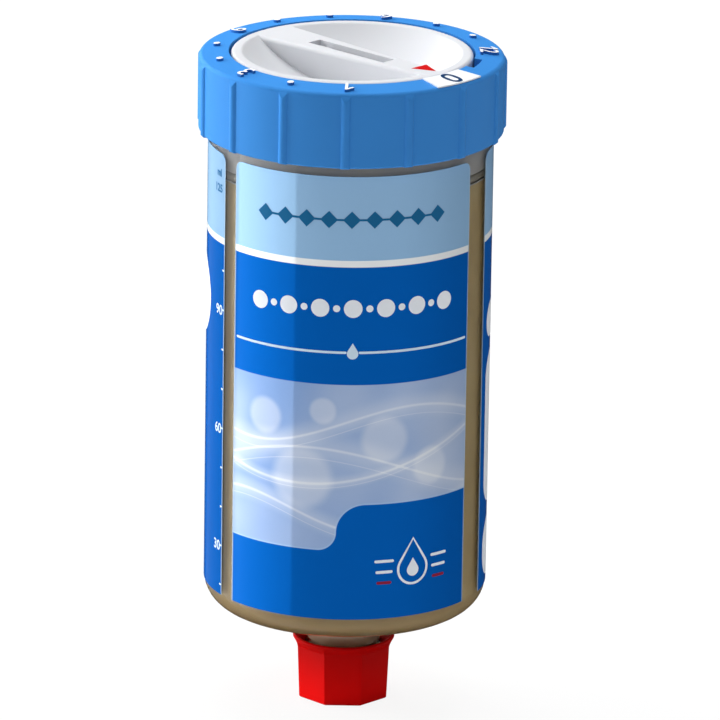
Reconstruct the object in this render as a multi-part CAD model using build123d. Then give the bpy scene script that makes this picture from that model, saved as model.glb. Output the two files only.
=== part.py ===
"""Automatic grease lubricator: clear cartridge, gas-driven piston, setting dial.

All lengths are millimetres. +Z is up and the origin is at the centre of the
closure cap's flat base. Plan angles are in degrees, counted from the front
(-Y) towards +X, so the front label faces -Y.
"""
from build123d import *
import math
import os

# ---------------------------------------------------------------- closure cap
CAP_FLATS_BASE = 14.84        # across the octagon's flats, at the base
CAP_FLATS_TOP = 15.56         # the same, under the flange
CAP_HEIGHT = 10.8
CAP_BODY_HEIGHT = 9.2         # octagonal stretch
CAP_FLOOR = 1.0
CAP_FLANGE_R = 8.65
CAP_LIP_HEIGHT = 0.5          # straight edge of the flange
CAP_MOUTH_LIP = 0.4           # width of the flange's top edge
CAP_EDGE_ROUND = 0.25
CAP_SIDES = 8
CAP_SEAL_THICKNESS = 0.8
CAP_SEAL_CLEARANCE = 0.15
THREAD_CLEARANCE = 0.2        # cap bore to thread crest

# -------------------------------------------------------------- outlet nipple
THREAD_MAJOR_R = 6.58         # R 1/4 taper thread, at its gauge plane
THREAD_DEPTH = 0.856
THREAD_TAPER = 1 / 32         # radius gained for each millimetre of height
THREAD_GAUGE_LENGTH = 6.0     # nipple end to gauge plane
NIPPLE_LENGTH = 14.9          # container base to nipple end
COLLAR_R = 6.27
COLLAR_LENGTH = 6.3
COLLAR_ROOT_ROUND = 0.8
NIPPLE_END_CHAMFER = 0.4
OUTLET_BORE_R = 2.6
OUTLET_FUNNEL = 1.4           # depth and width of the bore's countersink

# ------------------------------------------------------------------ container
CONTAINER_R = 23.88
CONTAINER_WALL = 1.5
CONTAINER_BASE_THICKNESS = 1.8
CONTAINER_HEIGHT = 88.8       # base to rim
CONTAINER_CORNER = 4.8        # rounded lower edge, outside
CONTAINER_INNER_CORNER = 2.6
NECK_STEP = 0.48              # how far the neck under the grip ring is set in
NECK_BELOW_FOOT = 0.3         # shoulder of the neck to the ring's foot
NECK_SHOULDER_ROUND = 0.2
BEAD_HEIGHT = 0.35            # snap bead that holds the grip ring
BEAD_WIDTH = 1.2
BEAD_BELOW_RIM = 2.6

# --------------------------------------------------------------------- labels
LABEL_THICKNESS = 0.06
LABEL_GLUE = 0.03             # adhesive between label and wall
LABEL_ABOVE_BASE = 4.5
LABEL_BELOW_FOOT = 1.8        # top edge to the grip ring's foot
LABEL_CORNER = 1.6
FRONT_LABEL_ANGLES = (-52.2, 56.2)
REAR_LABEL_ANGLES = (70.2, 300.1)

# --------------------------------------------------------------------- piston
PISTON_CLEARANCE = 0.2        # skirt to container wall
PISTON_HEIGHT = 8.65
PISTON_CROWN = 1.5
PISTON_WALL = 2.2
PISTON_FLOOR_ROUND = 1.0
PISTON_EDGE_ROUND = 2.8
PISTON_TO_HOUSING = 0.5       # axial gap when the container is full
SEAL_SECTION = 1.3            # diameter of both O-rings' section
SEAL_CLEARANCE = 0.08         # O-ring to the container wall
SEAL_SEAT = 0.04              # O-ring to its groove's floor
GROOVE_WIDTH = 1.6
PISTON_GROOVE_HEIGHT = 3.0    # crown underside to groove
GREASE_CLEARANCE = 0.1

# ---------------------------------------------------- drive housing and inside
HOUSING_FLANGE = 1.4
HOUSING_FLANGE_INSET = 0.1    # flange edge to the container's outside
HOUSING_CLEARANCE = 0.18      # plug to container wall
HOUSING_PLUG_LENGTH = 5.6     # stretch that fills the container's mouth
HOUSING_CUP_CLEARANCE = 0.48  # cup to the inside of the piston
HOUSING_CUP_DEPTH = 4.6       # below the plug
HOUSING_WALL = 1.2
HOUSING_FLOOR = 1.2
HOUSING_GROOVE_HEIGHT = 1.6   # plug's lower edge to groove
CELL_SPACE = 0.3              # left on each side of a cell, three in a row
CELL_HEIGHT = 5.4             # button batteries and gas cell
CELL_EDGE = 0.4
CELL_LID_INSET = 1.1
CELL_LID_STEP = 0.3
CELL_CLEARANCE = 0.15         # cell to its well
WELL_WALL = 0.9
GAS_PORT_R = 1.5
GAS_SEAL_THICKNESS = 0.8
GAS_SEAL_WIDTH = 2.4
CONTACT_THICKNESS = 0.2
CONTACT_INSET = 1.1           # contact disc to the edge of the cell's lid
CONTACT_TAB_INSET = 0.4       # tab's end to the edge of the cell
CONTACT_TAB_WIDTH = 2.4
BOARD_THICKNESS = 1.2
BOARD_CLEARANCE = 0.3
CHIP_LENGTH = 5.0
CHIP_WIDTH = 4.0
CHIP_HEIGHT = 1.6
RESISTOR_R = 0.9
RESISTOR_LENGTH = 4.4
RESISTOR_SPREAD = 3.0         # between the two resistors
RESISTOR_LEAD_R = 0.25
RESISTOR_LEAD = 0.9           # lead beyond each end
RESISTOR_DROP = 0.2           # body below the board

# ------------------------------------------------------------------ grip ring
RING_HEIGHT = 12.75
RING_WALL = 2.05              # skirt, between the ribs
RING_TO_CONTAINER = 0.15
RING_TOP_WIDTH = 4.95         # top face, from the dial's bore to the outside
RING_BELOW_RIM = 5.4          # how far the skirt laps the container
RING_EDGE_ROUND = 0.7
RING_TOP_RISE = 0.45          # bore edge above the outer edge: the top is a shallow cone
RING_FOOT_CHAMFER = 0.3
DIVISIONS = 15                # ribs and scale marks share one spacing
FIRST_DIVISION = -2.0         # plan angle of mark 1 and of one rib
RIB_HEIGHT = 0.45
RIB_EDGE_ROUND = 1.6          # the ribs run out below the ring's rounded top edge
RIB_R = 0.9
RING_LAND = 3.4               # thickness of the top plate over the dial flange
NOTCH_CENTRE = 73.5
NOTCH_HALF_ANGLE = 7.0
NOTCH_DEPTH = 1.35

# ------------------------------------------------------------------ zero flag
FLAG_HALF_ANGLE = 11.6
FLAG_BORE_INSET = 0.1         # inner edge to the ring's bore
FLAG_EDGE_INSET = 0.3         # outer edge to the ring's outside
FLAG_THICKNESS = 0.22

# ----------------------------------------------------------------------- dial
DIAL_TO_RING = 0.38           # radial gap round the dial's rim
DIAL_WALL = 1.4
DIAL_FLANGE_OVERLAP = 1.25    # flange reach under the ring's land
DIAL_FLANGE = 1.3
DIAL_AXIAL_CLEARANCE = 0.25
DIAL_FLANGE_CLEARANCE = 0.3   # flange to the ring's counterbore
DIAL_EDGE_ROUND = 0.6
DIAL_DRUM_WALL = 1.37
DIAL_RIM = 1.85               # flat rim round the finger bowl
BOWL_DEPTH = 5.8
BOWL_LIP_ROUND = 0.7
BOWL_CREASE_ROUND = 0.5       # between the grip bar's walls and the bowl
BAR_MIDDLE_HALF = 3.3         # half width of the grip bar at the dial's centre
BAR_TAPER = 0.0667            # half width lost for each millimetre to its nose
SLOT_TAIL = -8.9              # coin slot, along the bar
SLOT_NOSE = 8.5
SLOT_WIDTH = 2.7
SLOT_DEPTH = 5.0
SLOT_STEP_LENGTH = 3.0
SLOT_STEP_DEPTH = 0.9
POINTER_LENGTH = 3.95         # red triangle, along the bar
POINTER_TO_LIP = 0.2          # its tip to the bowl's edge
POINTER_HALF_WIDTH = 1.8
POINTER_OFFSET = 1.2          # to the right of the bar's centre line
POINTER_DEPTH = 0.35
POINTER_PROUD = 0.03
DIAL_BOSS_R = 4.0
DIAL_SEAL_WIDTH = 1.6
DIAL_SEAL_CLEARANCE = 0.1     # seal to the housing's flange
WIPER_THICKNESS = 0.3
WIPER_HUB_R = 3.4
WIPER_REACH = 12.0
WIPER_FOOT = 1.0              # flat end of each arm
WIPER_WIDTH = 2.0
WIPER_CLEARANCE = 0.1         # contact tip to board

# ------------------------------------------------------- heights, bottom to top
Z_NIPPLE_END = CAP_FLOOR + CAP_SEAL_THICKNESS
Z_BASE = Z_NIPPLE_END + NIPPLE_LENGTH
Z_FLOOR = Z_BASE + CONTAINER_BASE_THICKNESS
Z_RIM = Z_BASE + CONTAINER_HEIGHT
Z_COLLAR = Z_BASE - COLLAR_LENGTH
Z_LABEL = Z_BASE + LABEL_ABOVE_BASE
Z_PLUG = Z_RIM - HOUSING_PLUG_LENGTH
Z_CUP = Z_PLUG - HOUSING_CUP_DEPTH
Z_CUP_FLOOR = Z_CUP + HOUSING_FLOOR
Z_BOARD = Z_CUP_FLOOR + CELL_HEIGHT + CONTACT_THICKNESS
Z_BOARD_TOP = Z_BOARD + BOARD_THICKNESS
Z_HOUSING = Z_RIM + HOUSING_FLANGE
Z_RING_FOOT = Z_RIM - RING_BELOW_RIM
Z_RING_TOP = Z_RING_FOOT + RING_HEIGHT
Z_RING_LAND = Z_RING_TOP - RING_LAND
Z_NECK = Z_RING_FOOT - NECK_BELOW_FOOT
Z_LABEL_TOP = Z_RING_FOOT - LABEL_BELOW_FOOT
Z_RING_BORE_EDGE = Z_RING_TOP + RING_TOP_RISE
Z_DIAL_TOP = Z_RING_BORE_EDGE                      # the rim lies flush with the ring
Z_DIAL_FLANGE_TOP = Z_RING_LAND - DIAL_AXIAL_CLEARANCE
Z_DIAL_FLANGE = Z_DIAL_FLANGE_TOP - DIAL_FLANGE
Z_PISTON_TOP = Z_PLUG - PISTON_TO_HOUSING
Z_CROWN = Z_PISTON_TOP - PISTON_HEIGHT
Z_PISTON_GROOVE = Z_CROWN + PISTON_GROOVE_HEIGHT
Z_HOUSING_GROOVE = Z_PLUG + HOUSING_GROOVE_HEIGHT

# --------------------------------------------------------------- derived radii
CONTAINER_INNER_R = CONTAINER_R - CONTAINER_WALL
NECK_R = CONTAINER_R - NECK_STEP
PISTON_R = CONTAINER_INNER_R - PISTON_CLEARANCE
PISTON_INNER_R = PISTON_R - PISTON_WALL
PLUG_R = CONTAINER_INNER_R - HOUSING_CLEARANCE
HOUSING_FLANGE_R = NECK_R - HOUSING_FLANGE_INSET
HOUSING_CUP_R = PISTON_INNER_R - HOUSING_CUP_CLEARANCE
CUP_INNER_R = HOUSING_CUP_R - HOUSING_WALL
SEAL_R = CONTAINER_INNER_R - SEAL_CLEARANCE
GROOVE_FLOOR_R = SEAL_R - SEAL_SECTION - SEAL_SEAT
BOARD_POCKET_R = GROOVE_FLOOR_R - HOUSING_WALL
LABEL_BACK_R = CONTAINER_R + LABEL_GLUE
LABEL_R = LABEL_BACK_R + LABEL_THICKNESS
CELL_R = CUP_INNER_R / 3 - CELL_SPACE
CELL_PITCH = 2 * (CELL_R + CELL_SPACE)
CELL_LID_R = CELL_R - CELL_LID_INSET
WELL_R = CELL_R + CELL_CLEARANCE
PARTS_PITCH = (WELL_R + WELL_WALL + CUP_INNER_R) / 2
RING_SKIRT_BORE_R = NECK_R + RING_TO_CONTAINER
RING_R = RING_SKIRT_BORE_R + RING_WALL
RING_BORE_R = RING_R - RING_TOP_WIDTH
DIAL_R = RING_BORE_R - DIAL_TO_RING
DIAL_FLANGE_R = RING_BORE_R + DIAL_FLANGE_OVERLAP
RING_COUNTERBORE_R = DIAL_FLANGE_R + DIAL_FLANGE_CLEARANCE
BOWL_R = DIAL_R - DIAL_RIM
BOWL_SPHERE_R = (BOWL_R ** 2 + BOWL_DEPTH ** 2) / (2 * BOWL_DEPTH)
Z_BOWL_CENTRE = Z_DIAL_TOP - BOWL_DEPTH + BOWL_SPHERE_R
Z_DIAL_BOSS = Z_DIAL_TOP - BOWL_DEPTH - DIAL_WALL
POINTER_TIP = BOWL_R - POINTER_TO_LIP
DIVISION = 360 / DIVISIONS
ZERO_ANGLE = FIRST_DIVISION + 2 * DIVISION
TOOL = 60.0                   # longer than any cut that it is used for
OVERCUT = 1.0                 # how far a cutter stands past the face it opens
FUZZ = 0.001                  # slack when edges are picked by height


def ring_profile(*corners):
    """Closed (radius, height) outline, drawn in the XZ plane."""
    return Plane.XZ * make_face(Polyline(*corners, close=True))


def rounded(profile, *corners):
    """The outline with its (radius, height, round) corners filleted."""
    for radius, height, size in corners:
        nearest = profile.vertices().sort_by_distance((radius, 0, height))[0]
        profile = fillet(nearest, size)
    return profile


def turned(profile, start=0.0, stop=360.0):
    """The outline revolved about Z between two plan angles."""
    solid = revolve(profile, Axis.Z, revolution_arc=stop - start)
    return Rot(0, 0, start - 90) * solid


def tube(outer, inner, low, high, start=0.0, stop=360.0):
    """Plain ring, or a stretch of one."""
    profile = ring_profile((inner, low), (outer, low), (outer, high), (inner, high))
    return turned(profile, start, stop)


def disc(radius, low, high):
    """Upright cylinder on the Z axis."""
    return Pos(0, 0, low) * Cylinder(radius, high - low, align=(Align.CENTER, Align.CENTER, Align.MIN))


def o_ring(groove_low):
    """O-ring in the middle of a groove that starts at a height."""
    middle = groove_low + GROOVE_WIDTH / 2
    return Pos(0, 0, middle) * Torus(SEAL_R - SEAL_SECTION / 2, SEAL_SECTION / 2)


def groove(low):
    """Cutter for an O-ring groove that starts at a height."""
    return tube(CONTAINER_INNER_R, GROOVE_FLOOR_R, low, low + GROOVE_WIDTH)


def thread_r(height):
    """Crest radius of the outlet's taper thread at a height."""
    gauge = Z_NIPPLE_END + THREAD_GAUGE_LENGTH
    return THREAD_MAJOR_R + (height - gauge) * THREAD_TAPER


# ------------------------------------------------------------- lower assembly
def closure_cap():
    """Octagonal screw cap with a flared round flange."""
    z_flange = CAP_BODY_HEIGHT
    top = CAP_HEIGHT
    half_turn = 180 / CAP_SIDES
    base = Rot(0, 0, half_turn) * RegularPolygon(CAP_FLATS_BASE / 2, CAP_SIDES, major_radius=False)
    head = Rot(0, 0, half_turn) * RegularPolygon(CAP_FLATS_TOP / 2, CAP_SIDES, major_radius=False)
    body = loft([base, Pos(0, 0, z_flange) * head])
    body = chamfer(body.edges().group_by(Axis.Z)[0], CAP_EDGE_ROUND)
    flare = loft([Pos(0, 0, z_flange) * head, Pos(0, 0, top - CAP_LIP_HEIGHT) * Circle(CAP_FLANGE_R)])
    lip = disc(CAP_FLANGE_R, top - CAP_LIP_HEIGHT, top)
    flange = flare + fillet(lip.edges().sort_by(Axis.Z)[-1], CAP_EDGE_ROUND)
    mouth_r = CAP_FLANGE_R - CAP_MOUTH_LIP
    bore = turned(ring_profile(
        (0, CAP_FLOOR),
        (thread_r(CAP_FLOOR) + THREAD_CLEARANCE, CAP_FLOOR),
        (thread_r(z_flange) + THREAD_CLEARANCE, z_flange),
        (mouth_r, top),
        (0, top),
    ))
    return body + flange - bore


def cap_seal():
    """Soft disc that closes the nipple's end."""
    radius = thread_r(CAP_FLOOR) + THREAD_CLEARANCE - CAP_SEAL_CLEARANCE
    return disc(radius, CAP_FLOOR, Z_NIPPLE_END)


def container():
    """Clear moulded cartridge with its collar and outlet nipple."""
    root_low = thread_r(Z_NIPPLE_END) - THREAD_DEPTH
    root_high = thread_r(Z_COLLAR) - THREAD_DEPTH
    bead = Z_RIM - BEAD_BELOW_RIM
    outline = ring_profile(
        (OUTLET_BORE_R, Z_NIPPLE_END),
        (root_low - NIPPLE_END_CHAMFER, Z_NIPPLE_END),
        (root_low, Z_NIPPLE_END + NIPPLE_END_CHAMFER),
        (root_high, Z_COLLAR),
        (COLLAR_R, Z_COLLAR),
        (COLLAR_R, Z_BASE),
        (CONTAINER_R, Z_BASE),
        (CONTAINER_R, Z_NECK),
        (NECK_R, Z_NECK),
        (NECK_R, bead - BEAD_WIDTH / 2),
        (NECK_R + BEAD_HEIGHT, bead - BEAD_WIDTH / 4),
        (NECK_R + BEAD_HEIGHT, bead + BEAD_WIDTH / 4),
        (NECK_R, bead + BEAD_WIDTH / 2),
        (NECK_R, Z_RIM),
        (CONTAINER_INNER_R, Z_RIM),
        (CONTAINER_INNER_R, Z_FLOOR),
        (OUTLET_BORE_R + OUTLET_FUNNEL, Z_FLOOR),
        (OUTLET_BORE_R, Z_FLOOR - OUTLET_FUNNEL),
    )
    return turned(rounded(
        outline,
        (COLLAR_R, Z_BASE, COLLAR_ROOT_ROUND),
        (CONTAINER_R, Z_BASE, CONTAINER_CORNER),
        (CONTAINER_R, Z_NECK, NECK_SHOULDER_ROUND),
        (CONTAINER_INNER_R, Z_FLOOR, CONTAINER_INNER_CORNER),
    ))


def grease_charge():
    """Grease that fills the container up to the piston and its seal."""
    outer = CONTAINER_INNER_R - GREASE_CLEARANCE
    low = Z_FLOOR + GREASE_CLEARANCE
    lip = Z_CROWN + PISTON_EDGE_ROUND
    crown = Z_CROWN - GREASE_CLEARANCE
    inside = PISTON_R + GREASE_CLEARANCE / 2
    outline = ring_profile((0, low), (outer, low), (outer, lip), (0, lip))
    charge = turned(rounded(outline, (outer, low, CONTAINER_INNER_CORNER)))
    room = turned(rounded(
        ring_profile((0, crown), (inside, crown), (inside, lip + OVERCUT), (0, lip + OVERCUT)),
        (inside, crown, PISTON_EDGE_ROUND),
    ))
    return charge - room


def label(span):
    """Thin label round the container, with rounded upper corners."""
    start, stop = span
    sheet = tube(LABEL_R, LABEL_BACK_R, Z_LABEL, Z_LABEL_TOP, start, stop)
    for edge, inward in ((start, 1), (stop, -1)):
        middle = inward * LABEL_CORNER / 2
        block = Box(LABEL_CORNER, 2 * LABEL_CORNER, LABEL_CORNER)
        block = Pos(middle, -LABEL_R, Z_LABEL_TOP - LABEL_CORNER / 2) * block
        arc = Cylinder(LABEL_CORNER, 3 * LABEL_CORNER, rotation=(90, 0, 0))
        block -= Pos(2 * middle, -LABEL_R, Z_LABEL_TOP - LABEL_CORNER) * arc
        sheet -= Rot(0, 0, edge) * block
    return sheet


# --------------------------------------------------------------------- piston
def piston():
    """Cup-shaped piston, open upwards, with one O-ring groove."""
    floor = Z_CROWN + PISTON_CROWN
    outline = ring_profile(
        (0, Z_CROWN),
        (PISTON_R, Z_CROWN),
        (PISTON_R, Z_PISTON_TOP),
        (PISTON_INNER_R, Z_PISTON_TOP),
        (PISTON_INNER_R, floor),
        (0, floor),
    )
    cup = turned(rounded(
        outline,
        (PISTON_R, Z_CROWN, PISTON_EDGE_ROUND),
        (PISTON_INNER_R, floor, PISTON_FLOOR_ROUND),
    ))
    return cup - groove(Z_PISTON_GROOVE)


def piston_seal():
    """O-ring that wipes the container wall."""
    return o_ring(Z_PISTON_GROOVE)


# -------------------------------------------------------------- drive housing
def at_cell(side):
    """Place of the gas cell (0) or of a battery (-1 left, 1 right)."""
    return Pos(side * CELL_PITCH, 0, 0)


def drive_housing():
    """Insert that plugs the container and holds the cells and the board."""
    outline = ring_profile(
        (0, Z_CUP),
        (HOUSING_CUP_R, Z_CUP),
        (HOUSING_CUP_R, Z_PLUG),
        (PLUG_R, Z_PLUG),
        (PLUG_R, Z_RIM),
        (HOUSING_FLANGE_R, Z_RIM),
        (HOUSING_FLANGE_R, Z_HOUSING),
        (BOARD_POCKET_R, Z_HOUSING),
        (BOARD_POCKET_R, Z_BOARD),
        (CUP_INNER_R, Z_BOARD),
        (CUP_INNER_R, Z_CUP_FLOOR),
        (0, Z_CUP_FLOOR),
    )
    body = turned(outline) - groove(Z_HOUSING_GROOVE)
    walls = Sketch() + [at_cell(side) * Circle(WELL_R + WELL_WALL) for side in (-1, 0, 1)]
    walls &= Circle(CUP_INNER_R + HOUSING_WALL / 2)
    body += Pos(0, 0, Z_CUP_FLOOR) * extrude(walls, Z_BOARD - Z_CUP_FLOOR)
    for side in (-1, 0, 1):
        body -= at_cell(side) * disc(WELL_R, Z_CUP_FLOOR, Z_BOARD)
    return body - disc(GAS_PORT_R, Z_CUP, Z_CUP_FLOOR)


def housing_seal():
    """O-ring between the drive housing and the container's mouth."""
    return o_ring(Z_HOUSING_GROOVE)


def button_cell(low, high):
    """Round metal can with a smaller stepped lid."""
    outline = ring_profile(
        (0, low),
        (CELL_R, low),
        (CELL_R, high - CELL_LID_STEP),
        (CELL_LID_R, high - CELL_LID_STEP),
        (CELL_LID_R, high),
        (0, high),
    )
    return turned(rounded(
        outline,
        (CELL_R, low, CELL_EDGE),
        (CELL_R, high - CELL_LID_STEP, CELL_EDGE),
    ))


def gas_cell():
    """Electrochemical cell that makes the driving gas."""
    return button_cell(Z_CUP_FLOOR + GAS_SEAL_THICKNESS, Z_CUP_FLOOR + CELL_HEIGHT)


def gas_cell_seal():
    """Flat ring that seals the gas cell to its port."""
    return tube(CELL_R, CELL_R - GAS_SEAL_WIDTH, Z_CUP_FLOOR, Z_CUP_FLOOR + GAS_SEAL_THICKNESS)


def battery(side):
    """Button battery beside the gas cell."""
    return at_cell(side) * button_cell(Z_CUP_FLOOR, Z_CUP_FLOOR + CELL_HEIGHT)


def battery_contact(side):
    """Sheet-metal contact between a battery and the board."""
    tab = CELL_R - CONTACT_TAB_INSET
    shape = Circle(CELL_LID_R - CONTACT_INSET)
    shape += Pos(-side * tab / 2, 0) * Rectangle(tab, CONTACT_TAB_WIDTH)
    low = Z_CUP_FLOOR + CELL_HEIGHT
    return at_cell(side) * Pos(0, 0, low) * extrude(shape, CONTACT_THICKNESS)


def circuit_board():
    """Round timer board that rests on the housing's ledge."""
    return disc(BOARD_POCKET_R - BOARD_CLEARANCE, Z_BOARD, Z_BOARD_TOP)


def control_chip():
    """Timer chip on the board's underside, behind the gas cell."""
    return Pos(0, PARTS_PITCH, Z_BOARD - CHIP_HEIGHT / 2) * Box(CHIP_LENGTH, CHIP_WIDTH, CHIP_HEIGHT)


def resistor(side):
    """Leaded resistor on the board's underside, in front of the gas cell."""
    axis = -RESISTOR_R - RESISTOR_DROP
    bend = RESISTOR_LENGTH / 2 + RESISTOR_LEAD
    body = Cylinder(RESISTOR_R, RESISTOR_LENGTH, rotation=(90, 0, 0))
    body = fillet(body.edges(), RESISTOR_R / 3)
    body += Cylinder(RESISTOR_LEAD_R, 2 * bend + 2 * RESISTOR_LEAD_R, rotation=(90, 0, 0))
    for end in (-bend, bend):
        body += Pos(0, end, -axis / 2) * Cylinder(RESISTOR_LEAD_R, -axis)
    return Pos(side * RESISTOR_SPREAD / 2, -PARTS_PITCH, Z_BOARD + axis) * body


# ------------------------------------------------------------------ grip ring
def ring_edge(inner, outer, rise, edge_round):
    """Outline of the ring's outside, with its rounded top and chamfered foot."""
    outline = ring_profile(
        (inner, Z_RING_FOOT),
        (outer - RING_FOOT_CHAMFER, Z_RING_FOOT),
        (outer, Z_RING_FOOT + RING_FOOT_CHAMFER),
        (outer, Z_RING_TOP),
        (inner, Z_RING_TOP + rise),
    )
    return turned(rounded(outline, (outer, Z_RING_TOP, edge_round)))


def ring_top(radius):
    """Height of the ring's sloped top at a radius."""
    return Z_RING_TOP + RING_TOP_RISE * (RING_R - radius) / (RING_R - RING_BORE_R)


def top_ring():
    """Ribbed grip ring that snaps over the container and holds the dial."""
    body = ring_edge(RING_BORE_R, RING_R, RING_TOP_RISE, RING_EDGE_ROUND)
    body -= disc(RING_SKIRT_BORE_R, Z_RING_FOOT, Z_HOUSING)
    body -= disc(RING_COUNTERBORE_R, Z_HOUSING, Z_RING_LAND)
    bead = Z_RIM - BEAD_BELOW_RIM
    body -= tube(
        RING_SKIRT_BORE_R + BEAD_HEIGHT,
        RING_SKIRT_BORE_R - RING_TO_CONTAINER,
        bead - BEAD_WIDTH / 2 - RING_TO_CONTAINER,
        bead + BEAD_WIDTH / 2 + RING_TO_CONTAINER,
    )
    crest = RING_R + RIB_HEIGHT
    bars = Sketch() + [
        Rot(0, 0, FIRST_DIVISION + step * DIVISION) * Pos(0, RIB_R - crest) * Circle(RIB_R)
        for step in range(DIVISIONS)
    ]
    ribs = Pos(0, 0, Z_RING_FOOT) * extrude(bars, RING_HEIGHT)
    rib_back = RING_SKIRT_BORE_R + RING_TO_CONTAINER + BEAD_HEIGHT
    body += ribs & ring_edge(rib_back, crest, 0, RIB_EDGE_ROUND)
    return body - tube(
        RING_BORE_R + NOTCH_DEPTH,
        DIAL_R,
        Z_RING_LAND,
        Z_RING_BORE_EDGE + OVERCUT,
        NOTCH_CENTRE - NOTCH_HALF_ANGLE,
        NOTCH_CENTRE + NOTCH_HALF_ANGLE,
    )


def zero_flag():
    """White tile that marks zero, lying on the ring's sloped top."""
    inner = RING_BORE_R + FLAG_BORE_INSET
    outer = RING_R - FLAG_EDGE_INSET
    outline = ring_profile(
        (inner, ring_top(inner)),
        (outer, ring_top(outer)),
        (outer, ring_top(outer) + FLAG_THICKNESS),
        (inner, ring_top(inner) + FLAG_THICKNESS),
    )
    return turned(outline, ZERO_ANGLE - FLAG_HALF_ANGLE, ZERO_ANGLE + FLAG_HALF_ANGLE)


# ----------------------------------------------------------------------- dial
def along_bar(shape):
    """Turns a shape drawn along +X so that +X points at the zero flag."""
    return Rot(0, 0, ZERO_ANGLE - 90) * shape


def grip_bar():
    """Tapered bar left standing between the two finger pockets."""
    nose = BAR_MIDDLE_HALF - BAR_TAPER * DIAL_R
    tail = BAR_MIDDLE_HALF + BAR_TAPER * DIAL_R
    outline = make_face(Polyline(
        (-DIAL_R, -tail),
        (DIAL_R, -nose),
        (DIAL_R, nose),
        (-DIAL_R, tail),
        close=True,
    ))
    low = Z_DIAL_TOP - BOWL_DEPTH - DIAL_WALL
    return along_bar(Pos(0, 0, low) * extrude(outline, TOOL))


def coin_slot():
    """Stepped slot for a coin, cut along the grip bar."""
    deep = Z_DIAL_TOP - SLOT_DEPTH
    shallow = Z_DIAL_TOP - SLOT_STEP_DEPTH
    outline = Plane.XZ * make_face(Polyline(
        (SLOT_TAIL, Z_DIAL_TOP + OVERCUT),
        (SLOT_TAIL, shallow),
        (SLOT_TAIL + SLOT_STEP_LENGTH, shallow),
        (SLOT_TAIL + SLOT_STEP_LENGTH, deep),
        (SLOT_NOSE, deep),
        (SLOT_NOSE, Z_DIAL_TOP + OVERCUT),
        close=True,
    ))
    return along_bar(extrude(outline, SLOT_WIDTH / 2, both=True))


def pointer_blank(high):
    """Triangle at the bar's nose, from its recess floor up to a height."""
    base = POINTER_TIP - POINTER_LENGTH
    outline = make_face(Polyline(
        (base, POINTER_OFFSET - POINTER_HALF_WIDTH),
        (POINTER_TIP, POINTER_OFFSET),
        (base, POINTER_OFFSET + POINTER_HALF_WIDTH),
        close=True,
    ))
    low = Z_DIAL_TOP - POINTER_DEPTH
    return along_bar(Pos(0, 0, low) * extrude(outline, high - low))


def bowl(radius, mouth, cover):
    """Round-bottomed bowl of a sphere's radius, up to its mouth and a flat cover."""
    low = Z_BOWL_CENTRE - radius
    reach = math.sqrt(radius ** 2 - (Z_BOWL_CENTRE - mouth) ** 2)
    half = math.asin(reach / radius) / 2
    middle = (radius * math.sin(half), Z_BOWL_CENTRE - radius * math.cos(half))
    outline = ThreePointArc((0, low), middle, (reach, mouth))
    outline += Polyline((reach, mouth), (reach, cover), (0, cover), (0, low))
    return turned(Plane.XZ * make_face(outline))


def dial():
    """Setting dial: rim, finger pockets, grip bar and coin slot."""
    plate = Z_DIAL_TOP - DIAL_WALL
    body = disc(DIAL_R, Z_DIAL_FLANGE, Z_DIAL_TOP)
    body = fillet(body.edges().sort_by(Axis.Z)[-1], DIAL_EDGE_ROUND)
    body += disc(DIAL_FLANGE_R, Z_DIAL_FLANGE, Z_DIAL_FLANGE_TOP)
    body -= disc(DIAL_R - DIAL_DRUM_WALL, Z_DIAL_FLANGE, plate)
    body += bowl(BOWL_SPHERE_R + DIAL_WALL, plate, plate + DIAL_WALL / 2)
    body += disc(DIAL_BOSS_R, Z_DIAL_BOSS, Z_DIAL_BOSS + DIAL_WALL)
    body -= bowl(BOWL_SPHERE_R, Z_DIAL_TOP, Z_DIAL_TOP + OVERCUT) - grip_bar()
    creases = body.edges().filter_by_position(Axis.Z, Z_DIAL_TOP - BOWL_DEPTH, Z_DIAL_TOP - BOWL_DEPTH / 2)
    body = fillet(creases.filter_by(GeomType.CIRCLE).sort_by(SortBy.LENGTH)[-2:], BOWL_CREASE_ROUND)
    top_edges = body.edges().filter_by_position(Axis.Z, Z_DIAL_TOP - FUZZ, Z_DIAL_TOP + FUZZ)
    body = fillet(top_edges.sort_by(SortBy.LENGTH)[:-1], BOWL_LIP_ROUND)
    return body - coin_slot() - pointer_blank(Z_DIAL_TOP + OVERCUT)


def pointer_mark():
    """Red triangle set into the grip bar."""
    return pointer_blank(Z_DIAL_TOP + POINTER_PROUD)


def dial_seal():
    """Flat ring under the dial's flange."""
    outer = DIAL_FLANGE_R - DIAL_FLANGE_CLEARANCE
    return tube(outer, outer - DIAL_SEAL_WIDTH, Z_HOUSING + DIAL_SEAL_CLEARANCE, Z_DIAL_FLANGE)


def contact_wiper():
    """Spring strip under the dial that touches the board's tracks."""
    tip = Z_BOARD_TOP + WIPER_CLEARANCE
    foot = WIPER_REACH - WIPER_FOOT
    outline = Plane.XZ * make_face(Polyline(
        (0, Z_DIAL_BOSS),
        (0, Z_DIAL_BOSS - WIPER_THICKNESS),
        (WIPER_HUB_R, Z_DIAL_BOSS - WIPER_THICKNESS),
        (foot, tip),
        (WIPER_REACH, tip),
        (WIPER_REACH, tip + WIPER_THICKNESS),
        (foot, tip + WIPER_THICKNESS),
        (WIPER_HUB_R, Z_DIAL_BOSS),
        close=True,
    ))
    arm = extrude(outline, WIPER_WIDTH / 2, both=True)
    hub = disc(WIPER_HUB_R, Z_DIAL_BOSS - WIPER_THICKNESS, Z_DIAL_BOSS)
    return along_bar(hub + arm + Rot(0, 0, 180) * arm)


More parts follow.
